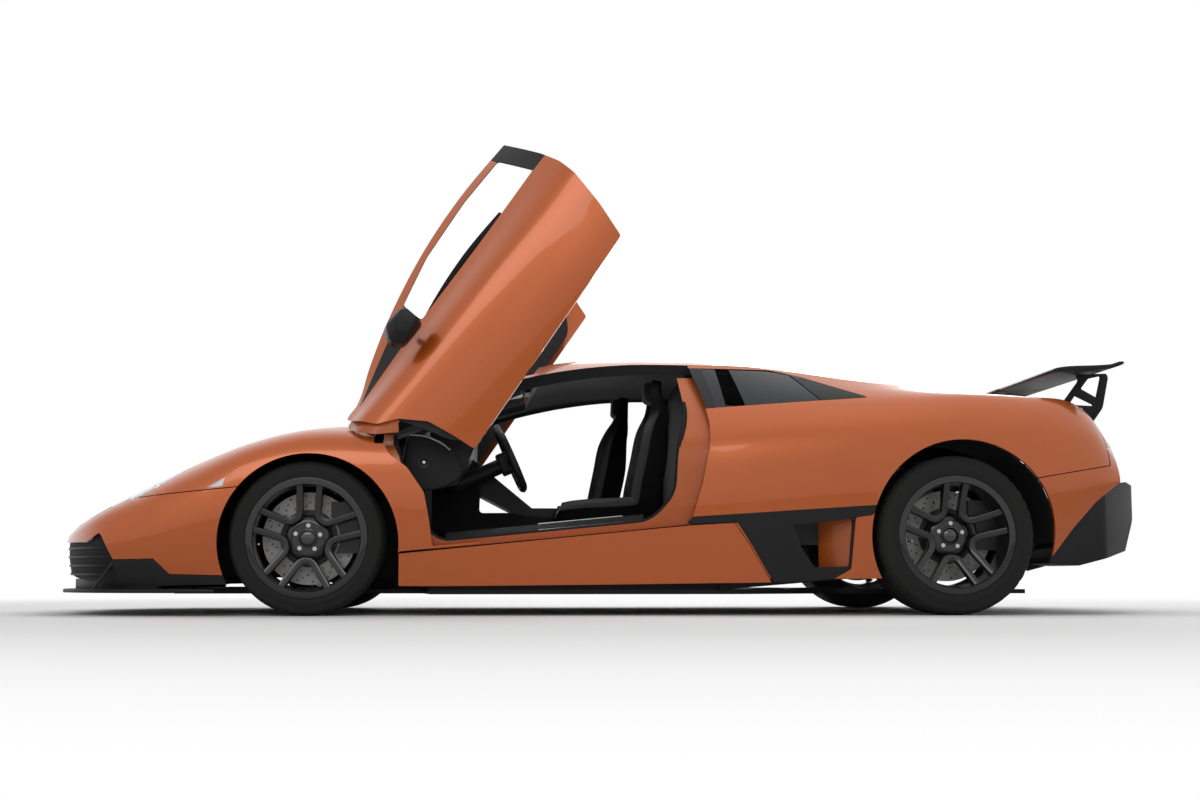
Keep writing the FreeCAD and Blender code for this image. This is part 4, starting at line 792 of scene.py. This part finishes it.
def build_quarters():
    """Rear quarters and their glass with its bar, louvre and pillar."""
    tail = TAIL_SEAM + [(3480, 0), (2900, 0), (2900, 567)]
    window = rounded(scaled(QUARTER_WINDOW), 0.02)
    plan = foot_line(1.56, 3.42, SEAM / 2) + [(3.5, 0.6), (3.5, FAR), (1.56, FAR)]
    item = panel("quarter", 1.5, 3.42, SHEET, prism(plan, "z", 0, 2), [
        door_hole(), block(SILL, extra=SEAM / 2), block(oblong(1500, 3600, 0, 150)),
        block(tail, extra=SEAM / 2), arch_disc(*REAR_ARCH), block(oblong(3370, 3600, 0, 2000)),
        block(SKIRT, extra=SEAM / 2), block(SCOOP, low=0.7, extra=0.002, radius=0.01),
        prism(window, "y", 0.5, FAR, 1)])
    finish_pair(item, "quarter_skin", "root", "rear_quarter_{}")
    outlines = QUARTER_BAR, QUARTER_LOUVRE, QUARTER_PILLAR
    dark = []
    for outline in outlines:
        part = panel("dark", 1.55, 2.4, 0.008, prism(grow(window, -0.001), "y", 0.5, FAR), depth=-0.001,
                     looks=BLACK)
        boolean(part, block(outline, low=0.4), "INTERSECT")
        dark.append(boolean(part, door_hole()))
    finish_both(join("bars", dark), "quarter_bars", "satin_black")
    cuts = [block(outline, low=0.4) for outline in outlines]
    pane = panel("pane", 1.55, 2.4, 0.005, prism(grow(window, -0.001), "y", 0.5, FAR), cuts, 0.002,
                 ("dark_glass",))
    finish_both(pane, "quarter_glass", "dark_glass", "quarter_windows")


def sill_height(x):
    """Height of the opening's lower edge, in millimetres."""
    (x0, z0), (x1, z1) = APERTURE[4:6]
    return z0 + (x - x0) * (z1 - z0) / (x1 - x0)


def build_jamb():
    """Flange in body paint darkened as painted shade, seal, striker and sill cover round the door's opening.
    """
    flange = panel("jamb", 0.3, 1.75, 0.008, block(DOOR, low=0.6, extra=0.018, radius=CORNER), [
        block(APERTURE, low=0.4, radius=0.06), block(SILL), arch_disc(*FRONT_ARCH, 1),
        block(oblong(100, 1900, 1060, 1400), low=0)], JAMB_DEPTH, ("paint_darkened_as_shade", "lining"))
    finish_pair(boolean(flange, beside(0.2, 1.8, 0.006), "INTERSECT"), "door_jamb", "root")
    edge = [p for p in rounded(scaled(APERTURE), 0.06, 6) if p[1] < 1.07]
    start = max(range(len(edge)), key=lambda i: edge[i][1] if edge[i][0] < 0.6 else 0)
    path = [Vector((x + AXLE_X, side_width(x, z) - JAMB_DEPTH - 0.012, z))
            for x, z in edge[start:] + edge[:start]]
    finish_pair(sweep("seal", curve_through(path, 2), circle(0.0105), ("seal",)), "door_seal", "root")

    base = plate(oblong(1556, 1584, 680, 738), "y", 893, 899, "steel", 0.002)
    loop = rod("loop", place(1570, 898, 694), place(1570, 898, 724), 0.005, ("steel",))
    finish_pair(join("striker", [base, loop]), "striker", "root")
    section = ((722, -24), (790, -30), (790, 6), (784, 13), (728, 40), (722, 38))
    rings = [[place(x, y, sill_height(x) + rise) for y, rise in section]
             for x in (560, 800, 1000, 1200, 1390)]
    cover = soften(loft("cover", rings, ("trim",)), 0.003)
    strips = [sweep("strip", [place(x, y, sill_height(x) + rise) for x in (945, 1125, 1302)],
                    circle(0.003, 8), ("steel",)) for y, rise in ((785, 12), (730, 40))]
    finish_pair(join("sill", [cover] + strips), "sill_cover", "root")


def build_skirts():
    item = panel("skirt", 0.3, 1.9, 0.03, block(SKIRT, low=0.85, extra=-0.001), [arch_disc(*FRONT_ARCH)])
    finish_both(item, "skirt_skin", "paint", "side_skirts")
    scoop = panel("scoop", 1.5, 2.5, 0.05, block(SCOOP, low=0.8, radius=0.01), [
        block(DUCT, low=0.5, radius=CORNER), arch_disc(*REAR_ARCH), door_hole(),
        block(SKIRT, extra=SEAM / 2)], looks=("satin_black", "lining"))
    finish_both(scoop, "scoop_skin", "satin_black", "side_scoops")
    # The cheek inside the duct takes the body paint darkened as painted shade.
    cheek = block([(2240, 985), (2110, 880), (2110, 875), (2250, 980)], "z", 0.195, 0.396,
                  looks=("paint_darkened_as_shade",))
    finish_pair(cheek, "scoop_cheek", "root")


def build_inner_walls():
    """Walls between the front wheels and the luggage space, console cheeks and the rails under the scoops."""
    wall = boolean(skin("wall", -0.9, 0.4, 0.03), block(oblong(-640, 345, 132, 900), "y", 0.508, 0.516),
                   "INTERSECT")
    looks_of(wall, "lining")
    rail = [(1690, 104), (1690, 142), (2240, 192), (2240, 150)]
    parts = [wall, block(COLUMN_SIDE, "y", 0.128, 0.138, radius=0.02, looks=("lining",)),
             block(rail, "y", 0.8, 0.9, looks=("lining",))]
    finish_both(join("walls", parts), "inner_walls", "satin_black")


def build_diffuser():
    """Rear diffuser with a hollow underside, strakes and the hole for the outlet."""
    hollow = [(3000, -1), (3000, 190), (3360, 262), (3560, 470), (3700, 480), (3700, -1)]
    item = block(DIFFUSER_FORM, "y", 0, 1)
    boolean(item, block(DIFFUSER_PLAN, "z", 0, 1, radius=0.02), "INTERSECT")
    boolean(item, block(hollow, "y", -0.1, 0.56, look=1))
    boolean(item, arch_disc(*REAR_ARCH, 1))
    parts = [soften(item, 0.004)]
    strake = [(3120, 182), (3120, 214), (3350, 266), (3550, 474), (3574, 474), (3478, 276), (3210, 206)]
    for y in (0.19, 0.35, 0.51):
        parts.append(soften(block(strake, "y", y - 0.004, y + 0.004), 0.002))
    hole = turned("hole", [(0.1, 3100), (117, 3100), (117, 3800), (0.1, 3800)], PAINTED, 64)
    turn = Matrix.Rotation(math.radians(-90), 4, "Z")
    hole.data.transform(Matrix.Translation((AXLE_X, 0, 0.42)) @ turn)
    right = boolean(join("diffuser", parts), hole)
    looks_of(right, "satin_black")
    finish_both(right, "diffuser_skin", "satin_black", "rear_diffuser")


def build_wing():
    """A thin blade with a turned-up edge on two open trusses."""
    outline = curve_through(scaled(WING_SECTION), 3, closed=True)
    blade = soften(prism(outline, "y", 0, 0.75, 0, BLACK), 0.002)
    truss = block(WING_TRUSS, "y", 0.512, 0.528, radius=CORNER, looks=BLACK)
    for window in TRUSS_WINDOWS:
        boolean(truss, block(window, "y", 0.4, 0.6, radius=0.008, looks=BLACK))
    boolean(truss, skin("outer", 3.0, 3.42, 0.004))
    looks_of(truss, "satin_black")
    region = block(oblong(3270, 3410, 492, 548), "z", 0.8, 1.0)
    foot = panel("foot", 3.2, 3.42, 0.004, region, depth=-0.004, looks=BLACK)
    parts = [blade, soften(truss, 0.003), foot]
    finish_both(join("wing", parts), "wing_skin", "satin_black", "rear_wing", angle=40.0)


def build_lid():
    plan = scaled([(2041, 0), (2036, 300), (2016, 588)]) + foot_line(2.1, 3.06, -0.005)
    plan = with_mirror(plan + scaled([(3085, 300), (3090, 0)]))
    first, pitch, slots = 2.13, 0.175, []
    for index in range(5):
        x = first + index * pitch
        slot = [(x, -0.44), (x + 0.04, -0.44), (x + 0.11, -0.40), (x + 0.11, 0.40), (x + 0.04, 0.44),
                (x, 0.44)]
        slots.append(prism(rounded(slot, CORNER, 3), "z", 0.5, 2))
    lid = panel("lid_skin", 1.95, 3.3, SHEET, prism(plan, "z", 0.8, 1.3), slots)
    finish(lid, "engine_lid", ("engine_lid",))


def build_tail():
    """Rear fascia, the lower deck edge and the lamps."""
    side = TAIL_SEAM[:2] + [(3374, 640), (3374, 1000), (3480, 1000), (3480, 0), (2900, 0)]
    lower = panel("fascia", 2.9, 3.42, SHEET, block(side, low=-0.001, extra=-SEAM / 2), [
        arch_disc(*REAR_ARCH), block(DIFFUSER, extra=0.001), block(TAIL_OPENING, "x", 3.3, 3.6, look=1),
        block(TAIL_LAMP, "x", 3.3, 3.6, 0.002, look=1)])
    deck = [(3066, 705), (3091, 300), (3096, -1), (3374, -1), (3374, 800), (3066, 800)]
    top = panel("deck", 3.0, 3.42, SHEET, block(deck, "z", 0.7, 1.2))
    plan = foot_line(3.0, 3.38, -SEAM / 2) + [(3.38, -0.01), (3.0, -0.01)]
    boolean(top, prism(plan, "z", 0.6, 1.3), "INTERSECT")
    finish_both(join("fascia_right", [lower, top]), "fascia_skin", "paint", "rear_fascia")
    lens = panel("lens", 3.2, 3.42, 0.006, block(TAIL_LAMP, "x", 3.3, 3.6), looks=("red_lens",))
    back = panel("back", 3.2, 3.42, 0.03, block(TAIL_LAMP, "x", 3.3, 3.6, -0.001), depth=0.02,
                 looks=("gloss_black",))
    finish_both(join("lamps", [lens, back]), "tail_lamp_units", "red_lens", "tail_lamps")


# Wheels


def wheel_look(item, base, word, tyre, node):
    """A part of the right wheel and its twin, which is the same part turned half round."""
    start = Matrix.Rotation(math.radians(WHEEL_TURN), 4, "Y")
    twin = copy_of(item, f"{base}_{word}_left")
    item.name = f"{base}_{word}_right"
    x = AXLE_X + (0.0 if word == "front" else WHEELBASE)
    for piece, hand, side in ((item, "right", 1), (twin, "left", -1)):
        centre = Vector((x, side * tyre["half_track"] * MM, tyre["radius"] * MM))
        turn = Matrix.Rotation(0.0 if side > 0 else math.pi, 4, "Z")
        piece.data.transform(Matrix.Translation(centre) @ turn @ start)
        finish(piece, f"wheel_{word}_{hand}", (f"{node}_{word}_{hand}",), 38.0)


def build_tyre(tyre):
    """A low-profile tyre with a ribbed wall, four grooves and notched shoulders."""
    half, radius = tyre["width"] / 2, tyre["radius"]
    wall = [(BEAD_RADIUS, half - 11.3), (245.6, half - 11.3), (248.5, half - 3.5)]
    wall += [(BEAD_RADIUS + (radius - BEAD_RADIUS) * share, half - inset) for share, inset in (
        (0.35, 1.2), (0.37, 0.2), (0.41, 0.2), (0.43, 1), (0.62, 1.5), (0.76, 5), (0.79, 4.6), (0.9, 14))]
    wall += [(radius - 4, half - 22), (radius - 1, half - 36), (radius, half - 45)]
    for y in ((half - 45) * 0.62, (half - 45) * 0.22):
        wall += [(radius, y + 6), (radius - 7, y + 4.5), (radius - 7, y - 4.5), (radius, y - 6)]
    profile = wall + [(r, -y) for r, y in reversed(wall)]
    shoulder = {i for i, (r, y) in enumerate(profile) if r > radius - 5 and abs(y) > half - 40}
    rings = turned_rings(scaled(profile), 180)
    for ring in rings[::4]:
        for i in shoulder:
            depth = 5 * MM / math.hypot(ring[i].x, ring[i].z)
            ring[i] = Vector((ring[i].x * (1 - depth), ring[i].y, ring[i].z * (1 - depth)))
    return loft("tyre", rings, ("rubber",), looped=True)


def spoke_path(face, half):
    """Centre line of one double spoke: in along one arm, round its loop near the hub and out again."""
    upper = [(204, 97), (180, 82), (156, 66), (132, 50), (114, 38), (102, 28), (95.5, 18), (93, 7)]
    points = []
    for r, z in upper + [(r, -z) for r, z in reversed(upper)]:
        front = face - 4 + (half - 8 - face + 4) * (r - 30) / 189
        points.append(Vector((r * MM, (front - 17) * MM, z * MM)))
    return curve_through(points, 3)


def build_rim(tyre):
    half = tyre["width"] / 2 - 10
    face = half - tyre["dish"]
    barrel = [(223, -half - 4), (245, -half - 4), (245, -half + 1), (232, -half + 1), (230, -half + 20),
              (218, -half + 60), (218, half - 60), (231, half - 12), (232, half - 1), (243, half - 1),
              (245, half + 1), (245, half + 3.5), (243, half + 4), (219, half + 4), (217, half + 1),
              (217, half - 14), (209, half - 60), (209, -half + 60), (221, -half + 20)]
    parts = [turned("barrel", barrel, ("rim_black",), 120)]
    section = rounded(scaled([(-17, -17), (17, -17), (13, 17), (-13, 17)]), 0.005, 2)
    for index in range(5):
        turn = Matrix.Rotation(math.radians(-72 * index), 3, "Y")
        parts.append(sweep("spoke", [turn @ p for p in spoke_path(face, half)], section, ("rim_black",)))
    hub = [(33, -46), (84, -46), (90, -36), (90, -16), (84, -9), (66, -5), (64, -12), (40, -12), (38, -3),
           (33, -2)]
    cap = [(0.5, 3), (16, 2), (27, -1), (31.5, -6), (31.5, -20), (0.5, -20)]
    parts.append(turned("hub", [(r, face + y) for r, y in hub], ("rim_black",), 80))
    parts.append(turned("cap", [(r, face + y) for r, y in cap], ("gloss_black",), 48))
    for index in range(5):
        a = math.radians(72 * index + 36)
        ends = [Vector((52 * MM * math.cos(a), (face + y) * MM, 52 * MM * math.sin(a))) for y in (-13, -3)]
        parts.append(sweep("bolt", ends, circle(0.0095, 6), ("steel",), (1, 0, 0)))
    ends = Vector((0.198, (half - 30) * MM, 0.03)), Vector((0.190, (half - 2) * MM, 0.028))
    return join("rim", parts + [rod("valve", *ends, 0.0035, ("steel",), 10)])


def drilled_disc():
    """A brake disc whose outer face lies at y = 0: two plates on vanes, the outer one drilled, and the hat.
    """
    outer = turned("plate", [(118, -9), (190, -9), (190, 0), (118, 0)], ("disc",))
    holes = []
    for radius, shift in ((134, 0), (149, 0.33), (163, 0.66), (177, 1.0)):
        for k in range(18):
            a = 2 * math.pi * (k + shift) / 18
            ends = [Vector((radius * MM * math.cos(a), y, radius * MM * math.sin(a))) for y in (-0.02, 0.01)]
            holes.append(sweep("hole", ends, circle(0.0042, 8), ("disc",), (1, 0, 0)))
    boolean(outer, join("holes", holes))
    inner = turned("back", [(118, -34), (190, -34), (190, -25), (118, -25)], ("disc",))
    vanes = []
    for k in range(36):
        form = [(0.122, -0.0015), (0.186, 0.0105), (0.186, 0.0145), (0.122, 0.0025)]
        vane = prism([(r - AXLE_X, z) for r, z in form], "y", -0.0255, -0.0085, 0, ("disc",))
        vane.data.transform(Matrix.Rotation(2 * math.pi * k / 36, 4, "Y"))
        vanes.append(vane)
    hat = turned("hat", [(118, -9), (118, -2), (97, -1), (95, 3), (95, 22), (92, 25.4), (33, 25.4), (33, 16),
                         (85, 16), (85, -4), (88, -9)], ("chassis",), 72)
    return join("disc", [outer, inner, hat] + vanes)


def build_wheels():
    disc = drilled_disc()
    for word, tyre in (("front", FRONT_TYRE), ("rear", REAR_TYRE)):
        wheel_look(build_tyre(tyre), "tyre_mesh", word, tyre, "tyre")
        wheel_look(build_rim(tyre), "rim_mesh", word, tyre, "rim")
        face = tyre["width"] / 2 - 10 - tyre["dish"] - 72
        placed = copy_of(disc, "disc")
        placed.data.transform(Matrix.Translation((0, face * MM, 0)))
        wheel_look(placed, "disc_mesh", word, tyre, "disc")
    bpy.data.objects.remove(disc)


# Cabin

# Seat's middle line: x, z, half-width, bolster height, share of the pad's width
SEAT_LINE = [(1045, 448, 190, 34, 0.74), (1085, 436, 198, 52, 0.72), (1150, 424, 204, 72, 0.70),
             (1225, 417, 206, 84, 0.68), (1280, 424, 206, 88, 0.66), (1316, 462, 206, 90, 0.66),
             (1338, 545, 208, 96, 0.66), (1364, 670, 210, 96, 0.66), (1370, 790, 206, 80, 0.68),
             (1376, 872, 190, 50, 0.72), (1380, 928, 118, 20, 0.80), (1382, 970, 92, 14, 0.84),
             (1384, 1008, 84, 10, 0.84), (1387, 1030, 66, 6, 0.84)]
# How far the driver's seat stands behind that line, for each of its points
SEAT_SHIFT = (0, 0, 25, 70, 112, 116, 116, 117, 118, 112, 92, 82, 80, 80)


def seat_rings(points, low, high, side, spread, crown=None):
    """Rings across the seat from its middle line: from the surface at low to the one at high."""
    rings = []
    line = [Vector((p[0], p[1])) for p in points]
    for i, (x, z, half, bolster, share) in enumerate(points):
        ahead, behind = line[min(i + 1, len(line) - 1)], line[max(i - 1, 0)]
        along = (ahead - behind).normalized()
        normal = Vector((-along.y, along.x))
        width = half * (share if spread else 1.0)
        row = []
        for k in range(21):
            u = -1 + k / 10
            lift = 0.0 if spread else bolster * max(0.0, (abs(u) - share) / (1 - share)) ** 0.7
            row.append((u * width, lift))
        rise = crown(i) if crown else high
        ring = []
        for u, lift in row:
            ring.append((u, lift + (rise * (1 - abs(u / width) ** 4) ** 0.5 + low if crown else rise)))
        for u, lift in reversed(row):
            ring.append((u, low) if spread else (u * 1.02, lift + low))
        rings.append([place(x + normal.x * v, side * 365 + u, z + normal.y * v) for u, v in ring])
    return rings


def denser(points, steps):
    """More rows between the rows of a table, on a smooth curve."""
    rows = []
    for i in range(len(points) - 1):
        p0, p1 = points[max(i - 1, 0)], points[i]
        p2, p3 = points[i + 1], points[min(i + 2, len(points) - 1)]
        for k in range(steps):
            rows.append(tuple(hermite(b, c, (c - a) / 2, (d - b) / 2, 1.0, k / steps)
                              for a, b, c, d in zip(p0, p1, p2, p3)))
    return rows + [points[-1]]


def build_seats():
    for side, word in ((1, "right"), (-1, "left")):
        moved = [(x + (shift if side < 0 else 0), *rest) for (x, *rest), shift in zip(SEAT_LINE, SEAT_SHIFT)]
        line = denser(moved, 5)
        shell = soften(loft("shell", seat_rings(line, -40, -2, side, False), ("leather",)), 0.006)
        outline = [(1080, 122), (1080, 400), (1300, 400), (1330, 122)]
        base = plate(outline, "y", side * 365 - 150, side * 365 + 150, "chassis", 0.01)
        finish(join(f"seat_shell_{word}", [shell, base]), "root", (f"seat_{word}",), 40.0)
        for name, rows in (("cushion", line[2:22]), ("back", line[28:46]), ("headrest", line[50:64])):
            count = len(rows)

            def crown(i, count=count, name=name):
                ends = min(1.0, (i + 0.35) / 2.2, (count - 0.65 - i) / 2.2) ** 0.5
                seam = 1.0 if name == "headrest" else 0.62 + 0.38 * abs(math.sin(math.pi * i / 4.5))
                return (42 if name == "headrest" else 30) * ends * seam

            pad = loft(f"pad_{name}_{word}", seat_rings(rows, -3, 0, side, True, crown), ("suede",))
            pad.modifiers.new("soft", "SUBSURF").levels = 1
            apply_modifiers(pad)
            finish(pad, "root", (), 60.0)


def build_steering_wheel():
    """A flat-bottomed leather rim, three spokes and a padded boss on the leaning column."""
    radius, flat = 0.161, 0.122
    path = []
    for k in range(72):
        a = 2 * math.pi * k / 72
        x = radius * math.cos(a)
        path.append(Vector((x if x < flat else flat + (x - flat) * 0.25, radius * math.sin(a), 0)))
    parts = [sweep("rim", path, circle(0.0165, 14), ("leather",), (0, 0, 1), closed=True)]
    boss = [(-0.052, -0.05), (-0.052, 0.05), (0.05, 0.036), (0.05, -0.036)]
    boss = prism(rounded([(x - AXLE_X, y) for x, y in boss], 0.022, 6), "z", -0.058, 0.004, 0, ("leather",))
    parts.append(soften(boss, 0.008, 3))
    section = scaled([(-15, -3), (15, -3), (15, 3), (-15, 3)])
    for angle in (100, 180, 260):
        a = math.radians(angle)
        ends = [Vector((r * -math.cos(a), r * math.sin(a), z))
                for r, z in ((0.035, -0.012), (0.10, -0.008), (0.15, 0))]
        parts.append(sweep("spoke", ends, section, BLACK, (0, 0, 1)))
    wheel = join("steering_wheel_mesh", parts)
    lean = Matrix.Rotation(math.radians(66.0), 4, "Y")
    wheel.data.transform(Matrix.Translation(place(840, -360, 668)) @ lean)
    finish(wheel, "steering_wheel", ("steering_wheel",), 50.0)


def build_cabin_details():
    """Kick panels with their speaker rings, the struts of the doors, dials and an inside mirror."""
    parts = [soften(block(KICK, "y", 0.7785, 0.7875, radius=0.02, looks=("trim",)), 0.003)]
    edge = curve_through([place(x, 789, z) for x, z in ((404, 748), (469, 742), (538, 713), (575, 685))], 4)
    parts.append(sweep("edge", edge, circle(0.0035, 8), ("steel",)))
    parts.append(rod("strut", place(398, 792, 740), place(372, 792, 630), 0.003, ("chassis",), 12))
    for profile, look, segments in (
            ([(25, 0), (30, 0), (30, 4), (28, 6), (25, 4)], "chassis", 48),
            ([(0.5, 3), (10, 3.5), (13, 1), (26, 3), (26, 0), (0.5, 0)], "satin_black", 48),
            ([(0.5, 6), (6, 5), (8, 2), (0.5, 2)], "steel", 32)):
        part = turned("speaker", profile, (look,), segments)
        part.data.transform(Matrix.Translation(place(466, 787.4, 632)))
        parts.append(part)
    finish_pair(join("kick", parts), "kick_panel", "root")

    rings = []
    for y in range(-520, -199, 20):
        fall = abs(y + 360) * 0.16
        section = ((560, 770), (640, 786), (700, 812 - fall), (712, 806 - fall), (690, 770))
        rings.append([place(x, y, z) for x, z in section])
    parts = [soften(loft("hood", rings, ("leather",)), 0.004)]
    lean = Matrix.Rotation(math.radians(-72), 4, "Y") @ Matrix.Rotation(math.radians(90), 4, "X")
    for y, radius in ((-410, 42), (-310, 42), (-360, 26), (-468, 20), (-252, 20)):
        inner = radius * 0.93
        bezel = turned("bezel", [(inner, 0), (radius, 0), (radius, 6), (inner, 6)], ("steel",), 36)
        face = turned("face", [(0.5, 0), (inner, 0), (inner, 2), (0.5, 2)], ("screen",), 36)
        for part in (bezel, face):
            part.data.transform(Matrix.Translation(place(694, y, 778)) @ lean)
            parts.append(part)
    finish(join("binnacle", parts), "root", (), 40.0)

    outline = [(-110, 1005), (110, 1005), (105, 1058), (-105, 1058)]
    head = soften(block(outline, "x", 0.905, 0.935, radius=0.02, looks=BLACK), 0.006, 3)
    stalk = rod("stalk", place(915, 0, 1052), place(880, 0, 1072), 0.008, BLACK)
    finish(join("inside_mirror", [head, stalk]), "root")


# Engine bay and tail details


def build_engine():
    """Ribbed intake covers and pipes over the block."""
    parts = []
    for side in (-1, 1):
        outline = [(side * y, z) for y, z in ((90, 775), (250, 755), (250, 820), (110, 845))]
        parts.append(soften(block(outline, "x", 1.76, 2.32, radius=0.015, looks=BLACK), 0.006))
        for x in range(1800, 2281, 96):
            route = [place(x, side * 80, 800), place(x, side * 50, 838), place(x, 0, 850)]
            parts.append(sweep("runner", curve_through(route, 4), circle(0.022, 16), ("alloy",), (1, 0, 0)))
    brace = [rod("brace", place(1720, side * 300, 800), place(2380, -side * 260, 860), 0.014, ("chassis",))
             for side in (-1, 1)]
    finish(join("engine_dress", parts + brace), "root")


def build_mesh_screens():
    """Woven wire behind the tail's opening."""
    x, y0, y1, z0, z1, pitch = 3372, -540, 540, 566, 698, 16
    height = z1 - z0
    wires = []
    for slant in (-1, 1):
        for start in range(y0 - height, y1 + height, pitch):
            left, right = sorted([max(y0, min(y1, start)), max(y0, min(y1, start + height))])
            if right - left <= 8:
                continue
            low, high = z0 + left - start, z0 + right - start
            if slant < 0:
                low, high = z0 + z1 - low, z0 + z1 - high
            wires.append(rod("wire", place(x, left, low), place(x, right, high), 0.0013, BLACK, 4))
    finish(join("wire_screens", wires), "root")


NODE_LOOKS = {
    "satin_black": ("undertray",),
    "lining": ("wheel_liners", "cabin_tub"),
    "leather": ("dashboard",),
    "alloy": ("engine",),
    "caliper": ("knuckle_left", "knuckle_right"),
    "chassis": ("front_axle", "rear_axle"),
    "steel": ("exhaust",),
}


def dress_nodes():
    for look, names in NODE_LOOKS.items():
        for name in names:
            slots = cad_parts[name].data.materials
            slots.clear()
            slots.append(materials[look])


# Floor, light and camera


def build_floor():
    """A pale floor that keeps the shadow and fades to white in the camera's view."""
    mesh = bpy.data.meshes.new("floor")
    corners = [(x, y, 0) for x, y in oblong(-FLOOR_REACH, FLOOR_REACH, -FLOOR_REACH, FLOOR_REACH)]
    mesh.from_pydata(corners[::-1], [], [(0, 1, 2, 3)])
    nodes, links, shader = new_material("floor")
    shader.inputs["Base Color"].default_value = FLOOR_COLOUR
    shader.inputs["Roughness"].default_value = 0.8
    mesh.materials.append(materials["floor"])
    spot = add_node(nodes, "NewGeometry")
    reach = add_node(nodes, "VectorMath", operation="LENGTH")
    fade = add_node(nodes, "MapRange", {"From Min": FADE_START, "From Max": FADE_END},
                    interpolation_type="SMOOTHSTEP")
    seen = add_node(nodes, "LightPath")
    share = add_node(nodes, "Math", operation="MULTIPLY")
    white = add_node(nodes, "Emission")
    blend = add_node(nodes, "MixShader")
    connect(links, (spot, "Position", reach, 0), (reach, "Value", fade, "Value"), (fade, "Result", share, 0),
            (seen, "Is Camera Ray", share, 1), (share, 0, blend, 0), (shader, 0, blend, 1),
            (white, 0, blend, 2), (blend, 0, nodes["Material Output"], "Surface"))
    make_object("floor", mesh)


def build_world():
    """White for the camera, reflections and glass, and a plain level of light for the rest."""
    world = bpy.data.worlds.new("studio")
    world.use_nodes = True
    bpy.context.scene.world = world
    nodes, links = world.node_tree.nodes, world.node_tree.links
    path = add_node(nodes, "LightPath")
    either = add_node(nodes, "Math", operation="MAXIMUM")
    bright = add_node(nodes, "Math", operation="MAXIMUM")
    strength = add_node(nodes, "MapRange", {"To Min": AMBIENT, "To Max": 1.0})
    connect(links, (path, "Is Camera Ray", either, 0), (path, "Is Glossy Ray", either, 1),
            (either, 0, bright, 0), (path, "Is Transmission Ray", bright, 1), (bright, 0, strength, "Value"),
            (strength, "Result", nodes["Background"], "Strength"))
    nodes["Background"].inputs["Color"].default_value = (1, 1, 1, 1)


def area_light(name, location, target, size, power):
    data = bpy.data.lights.new(name, "AREA")
    data.shape = "RECTANGLE"
    data.size, data.size_y = size
    data.energy = power
    lamp = make_object(name, data)
    lamp.location = location
    lamp.visible_glossy = name != "top"
    lamp.rotation_euler = (Vector(target) - Vector(location)).to_track_quat("-Z", "Y").to_euler()


def build_lights():
    area_light("top", (0.5, 0.5, 5.0), (0, 0, 0.5), (6, 3), 190)
    area_light("side", (-2.0, -6.0, 3.6), (0, 0, 0.6), (5, 2), 80)
    area_light("back", (2.0, 6.0, 3.0), (0, 0, 0.8), (6, 2), 150)


def build_camera():
    data = bpy.data.cameras.new("camera")
    data.lens = 50.0
    data.sensor_width = 36.0
    camera = make_object("camera", data)
    camera.location = CAMERA_PLACE
    camera.rotation_euler = (math.radians(90 + CAMERA_TILT), 0, math.radians(CAMERA_TURN))
    bpy.context.scene.camera = camera


bpy.context.scene.view_settings.view_transform = "Standard"
for build in (make_looks, build_camera, build_floor, build_world, build_lights, dress_nodes, build_fender,
              build_headlamps, build_bumper, build_splitter, build_bonnet, build_doors, build_greenhouse,
              build_quarters, build_jamb, build_skirts, build_inner_walls, build_lid, build_tail,
              build_diffuser, build_wing, build_wheels, build_seats, build_steering_wheel,
              build_cabin_details, build_engine, build_mesh_screens):
    build()

bpy.context.view_layer.update()
